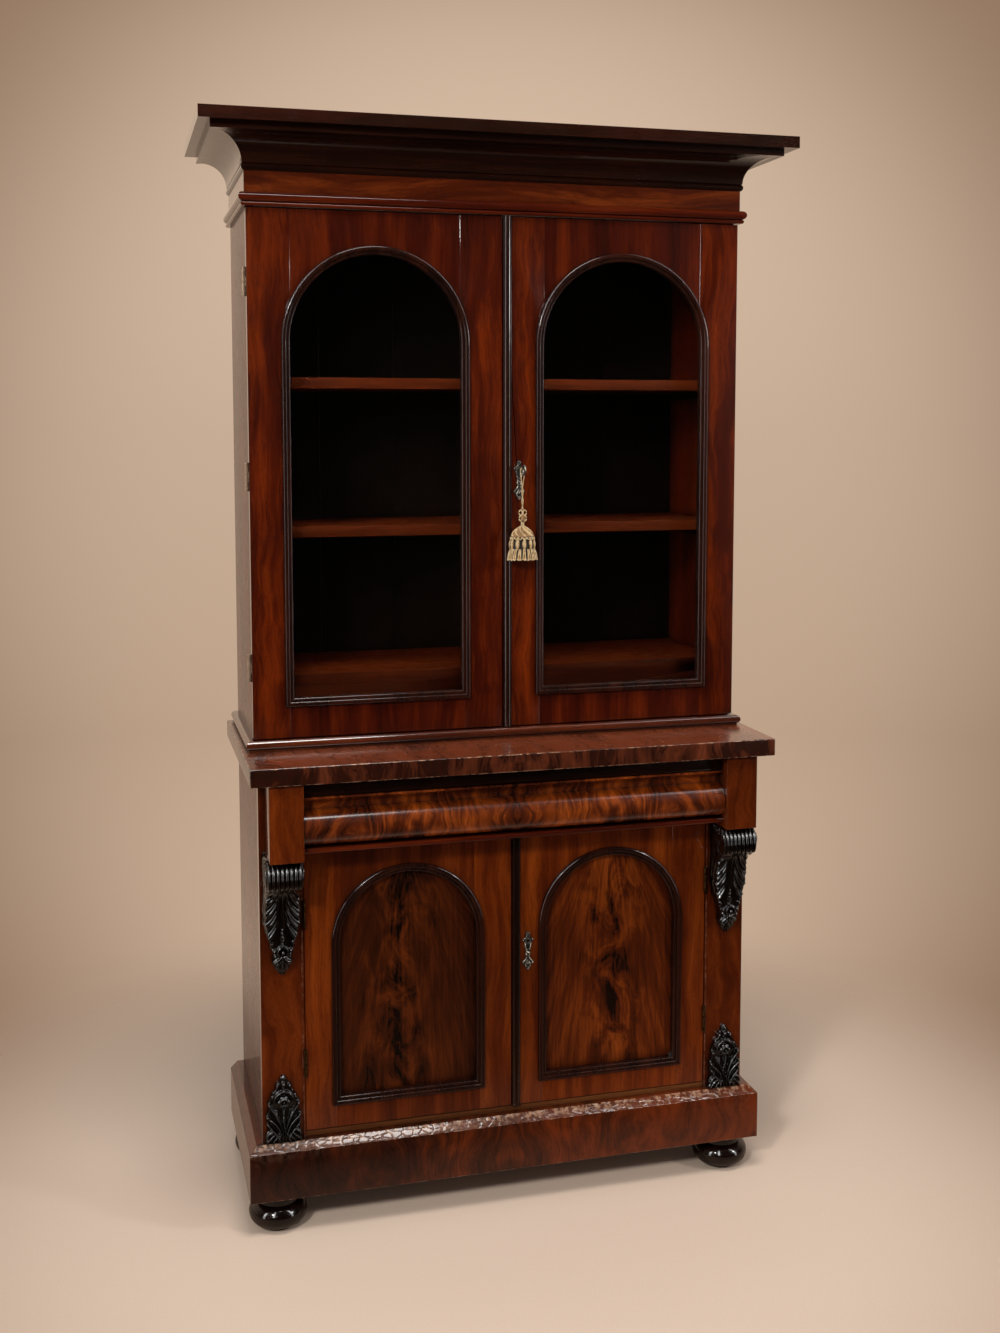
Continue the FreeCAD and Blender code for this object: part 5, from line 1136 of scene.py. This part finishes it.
def keyhole_plate(level):
    """The plate of the upper or lower door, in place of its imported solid."""
    low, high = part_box(f"{level}_escutcheon")
    middle, back, top = (low[0] + high[0]) / 2, high[1], high[2]
    rows = table_of([(down, PLATE_THICK, half) for down, half in PLATE_OUTLINE], count=240)
    item = lofted(f"{level}_keyhole_plate", middle, back, top, rows, plate_relief, no_relief,
                  counts=(3, 2, 34), corner=0.5, hand=1)
    bored(item, (middle, back, top - KEYHOLE_DROP * MM), KEYHOLE_RADIUS)
    hollow, crest = (back - (PLATE_THICK + height) * MM for height in (PLATE_HOLLOW, PLATE_CREST))
    item.data.materials.clear()
    item.data.materials.append(cast_bronze(f"{level}_bronze", hollow, crest))
    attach(item, f"{level}_right_door")
    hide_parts(f"{level}_escutcheon")


keyhole_plate("upper")
keyhole_plate("lower")


# Tassel: yarn by yarn, on a near-black core that paints shade into the gaps between them. Down, half width
# and half depth in millimetres.

TASSEL_FORM = (
    (0, 3, 3), (24, 4, 3.4), (36, 4, 3.6), (38, 7, 5), (42, 13, 9), (49, 20, 12.5), (56, 23.4, 14.4),
    (61, 24, 14.8), (66, 25.5, 14.9), (75, 27, 15), (86, 27, 14.6), (96, 30.5, 14.8), (108, 33, 15),
    (112, 33.3, 15),
)
CAP_YARNS, SCALLOPS, TUFTS, FRINGE = 28, 17, 11, 18
CORE_SIDES, CORE_DEPTH = 32, 2.6
# The knot's loops: middle across and down, half width and height, how far forward, radius and tone.
KNOT_LOOPS = (
    (4.6, 7.0, 3.9, 5.6, 2.2, 1.25, CREAM),
    (4.4, 19.5, 3.6, 5.8, 3.0, 1.35, CREAM),
    (2.2, 18.5, 1.8, 5.0, 4.6, 1.2, GOLD),
)
KNOT_BANDS = (12.2, 14.0, 24.6, 26.2)
tassel_low, tassel_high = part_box("tassel")
tassel_middle = (tassel_low + tassel_high) / 2
chance = np.random.default_rng(7)


def from_top(across, forward, down):
    """Points by their distance in millimetres from the top of the tassel's middle line."""
    place = np.stack(np.broadcast_arrays(across, -forward, -down), axis=-1) * MM
    return place + (tassel_middle[0], tassel_middle[1], tassel_high[2])


def on_tassel(turn, down, out=0.0):
    """Points on the tassel's surface: turn is 0 at its front, out is millimetres beyond the surface."""
    turn, down, out = (np.asarray(value, float) for value in (turn, down, out))
    down_at, wide_at, deep_at = np.array(TASSEL_FORM).T
    wide = np.interp(down, down_at, wide_at) + out
    deep = np.interp(down, down_at, deep_at) + out
    return from_top(wide * np.sin(turn), deep * np.cos(turn), down)


def tassel_yarns():
    """Path, radius in millimetres and colour of every yarn."""
    t = np.linspace(0, 1, 13)
    belly = np.sin(math.pi * t)
    for number in range(CAP_YARNS):
        turn = FULL_TURN * number / CAP_YARNS
        tone = GOLD if number % 3 else CREAM
        yield on_tassel(turn + 1.15 * t, 36.5 + 24.0 * t, 0.3 + 0.5 * belly), 0.8 + 1.15 * t, tone
    for number in range(SCALLOPS):
        wave = FULL_TURN * number / SCALLOPS + (t - 0.5) * FULL_TURN / SCALLOPS
        yield on_tassel(wave, 60.0 + 4.6 * belly, 2.2), 1.25, CREAM
        yield on_tassel(wave, 58.4 + 1.2 * belly, 1.9), 0.9, TAN
    for number in range(TUFTS):
        turn = FULL_TURN * number / TUFTS
        for strand in (-2, -1, 0, 1, 2):
            spread = 0.068 * strand * belly
            bulge = 0.2 + (2.2 - 0.35 * strand**2) * belly
            yield on_tassel(turn + spread, 62.0 + 26.0 * t, bulge), 1.1, GOLD if abs(strand) > 1 else CREAM
    bend = np.linspace(-1, 1, 9)
    for number in range(FRINGE):
        turn = FULL_TURN * number / FRINGE + chance.uniform(-0.02, 0.02)
        for strand in (-1.5, -0.5, 0.5, 1.5):
            foot = 110.5 - chance.uniform(0, 2.5)
            lean = turn + strand * (0.035 + 0.03 * t)
            yield on_tassel(lean, 86 + (foot - 87) * t, 0.6 * belly), 1.2, CREAM if abs(strand) > 1 else GOLD
            curl = turn + strand * 0.065 + 0.028 * bend
            yield on_tassel(curl, foot - 1.5 + 2.0 * np.sqrt(1 - 0.999 * bend**2), 0.5), 1.1, CREAM
    loop = np.linspace(0.15, FULL_TURN - 0.15, 26)
    for side in (-1, 1):
        for across, down, wide, tall, forward, radius, tone in KNOT_LOOPS:
            path = from_top(side * (across + wide * np.cos(loop)), forward, down + tall * np.sin(loop))
            yield path, radius, tone
        yield from_top(side * (2.5 - 0.5 * belly), 1.5, 24.0 + 14.5 * t), 1.75, CREAM
    whole = np.linspace(0, FULL_TURN, 25)
    for down in KNOT_BANDS:
        yield from_top(3.7 * np.sin(whole), 3.9 * np.cos(whole), down), 1.0, TAN


def make_tassel():
    """The core, and every yarn as one mesh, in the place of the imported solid."""
    paths, radii, kinds = zip(*tassel_yarns())
    yarns = tubes("tassel_yarns", paths, [np.asarray(radius) * MM for radius in radii], kinds=kinds)
    for tone in silk_tones:
        yarns.data.materials.append(tone)
    turns = np.linspace(0, FULL_TURN, CORE_SIDES, endpoint=False)
    downs = np.array([row[0] for row in TASSEL_FORM[1:-1]], float)
    core = closed_mesh("tassel_core", on_tassel(turns[None, :], downs[:, None], -CORE_DEPTH))
    core.data.materials.append(silk_tones[CORE])
    for item in (yarns, core):
        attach(item, "tassel")
        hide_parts("tassel")


make_tassel()


# Studio.

# Tall strip lights, as the polish mirrors them: degrees to the right of straight ahead, half width in
# degrees, power, and the sine of the foot's elevation.
STRIPS = ((-62, 5, 7.0, -0.22), (-24, 5, 7.0, 0.24), (50, 5, 6.0, -0.22))
STRIP_TOP = 0.93
STRIP_LIFT = 2.6  # how much brighter they are at the height that carved edges mirror
OVERHEAD_POWER = 1.2
POOL_AZIMUTH, POOL_ELEVATION = math.radians(15.0), math.radians(-4.5)  # where the backdrop is brightest
POOL_CORE, POOL_RIM, POOL_FAR = (math.cos(math.radians(turn)) for turn in (10.0, 27.5, 70.0))
POOL_EDGE = (0.40, 0.34, 0.30, 1)  # its tint where the pool of light has faded
FAR_TINT = (0.80, 0.78, 0.76, 1)  # and far to the side
FILL_TONE = (0.24, 0.225, 0.21, 1)
LAMP_COLOUR = (1.0, 0.97, 0.93)
FLOOR_REACH = 9.0
FLOOR_SOLID, FLOOR_GONE = 0.75, 1.9  # how far out the floor starts to melt, and where it is gone


def mirrored_room(recipe, way, tone):
    """What polish mirrors: the backdrop, a darker room in front, the strip lights and the light overhead."""
    x, y, z = recipe.split(way)
    seen = recipe.dimmed(tone, recipe.fit(y, -0.25, 0.35, 0.01, 1.0))
    azimuth = recipe.calc("ARCTAN2", x, recipe.times(y, -1.0))
    rising, falling = recipe.fit(z, 0.2, 0.4, 1.0, STRIP_LIFT), recipe.fit(z, 0.7, 0.85, STRIP_LIFT, 1.0)
    lift = recipe.times(recipe.calc("MINIMUM", rising, falling), recipe.fit(z, STRIP_TOP, STRIP_TOP - 0.05))
    for degrees, half, power, foot in STRIPS:
        off = recipe.calc("ABSOLUTE", recipe.calc("SUBTRACT", azimuth, math.radians(degrees)))
        shine = recipe.fit(off, math.radians(half), math.radians(half * 0.7), 0.0, power)
        tall = recipe.times(recipe.fit(z, foot, foot + 0.08), lift)
        seen = recipe.brightened(seen, recipe.times(shine, tall))
    return recipe.brightened(seen, recipe.fit(z, 0.94, 0.97, 0.0, OVERHEAD_POWER))


def make_world():
    """A beige backdrop with a soft pool of light, a room that polish mirrors, and even fill light."""
    world = bpy.data.worlds.new("studio")
    scene.world = world
    recipe = Recipe(world)
    way = recipe.node("ShaderNodeTexCoord").outputs["Generated"]
    pool_way = (math.sin(POOL_AZIMUTH), math.cos(POOL_AZIMUTH), math.tan(POOL_ELEVATION))
    near_pool = recipe.dot(way, Vector(pool_way).normalized())
    lit = recipe.fit(near_pool, POOL_RIM, POOL_CORE, curve="SMOOTHSTEP")
    aside = recipe.fit(near_pool, POOL_RIM, POOL_FAR, curve="SMOOTHSTEP")
    pool = recipe.mix(aside, recipe.mix(lit, POOL_EDGE, (1, 1, 1, 1)), FAR_TINT)
    height = recipe.fit(recipe.split(way)[2], -0.5, 0.5)
    tone = recipe.ramp(height, (0.0, srgb(236, 206, 180)), (0.3, srgb(190, 162, 138)),
                       (0.5, srgb(200, 173, 150)), (0.75, srgb(224, 197, 172)))
    fill = recipe.mix(recipe.mirrored_ray(), FILL_TONE, mirrored_room(recipe, way, tone))
    camera_ray = recipe.node("ShaderNodeLightPath").outputs["Is Camera Ray"]
    colour = recipe.mix(camera_ray, fill, recipe.mix(1.0, tone, pool, "MULTIPLY"))
    shade = recipe.node("ShaderNodeBackground", {"Color": colour, "Strength": 1.0})
    recipe.node("ShaderNodeOutputWorld", {"Surface": shade.outputs["Background"]})


def make_floor():
    """A pale floor that keeps the shadow near the bookcase and melts into the backdrop further out."""
    corners = [(x * FLOOR_REACH, y * FLOOR_REACH, 0) for x, y in ((-1, -1), (1, -1), (1, 1), (-1, 1))]
    floor = add_mesh("floor", corners, [(0, 1, 2, 3)])
    material, recipe = new_material("floor")
    place = recipe.place()
    distance = recipe.node("ShaderNodeVectorMath", {"Vector": place}, operation="LENGTH").outputs["Value"]
    share = recipe.fit(distance, FLOOR_SOLID, FLOOR_GONE, 1.0, 0.0, "SMOOTHSTEP")
    speck = recipe.noise(place, 300.0, 3.0, 0.6)
    tone = recipe.ramp(speck, (0.3, srgb(240, 216, 197)), (0.7, srgb(248, 225, 206)))
    behind = recipe.fit(recipe.split(place)[1], -0.7, -0.2)
    mirrored = recipe.mix(behind, srgb(60, 48, 40), srgb(214, 186, 164))
    colour = recipe.mix(recipe.mirrored_ray(), tone, mirrored)
    ground = recipe.node("ShaderNodeBsdfDiffuse", {"Color": colour}).outputs["BSDF"]
    clear = recipe.node("ShaderNodeBsdfTransparent").outputs["BSDF"]
    recipe.finish(recipe.mixed(share, clear, ground))
    floor.data.materials.append(material)


def lamp(name, place, aim, size, power):
    data = bpy.data.lights.new(name, "AREA")
    data.shape = "DISK"
    data.size = size
    data.energy = power
    data.color = LAMP_COLOUR
    item = bpy.data.objects.new(name, data)
    item.location = place
    item.rotation_euler = (Vector(aim) - Vector(place)).to_track_quat("-Z", "Y").to_euler()
    scene.collection.objects.link(item)


make_world()
make_floor()
lamp("key", (-2.6, -3.6, 3.4), (0.0, -0.1, 1.1), 0.6, 92.0)
lamp("fill", (3.2, -2.6, 2.4), (0.0, -0.1, 1.1), 0.6, 36.0)
lamp("top", (-0.2, -1.3, 4.4), (0.0, 0.0, 1.2), 1.3, 60.0)

scene.view_settings.view_transform = "Standard"
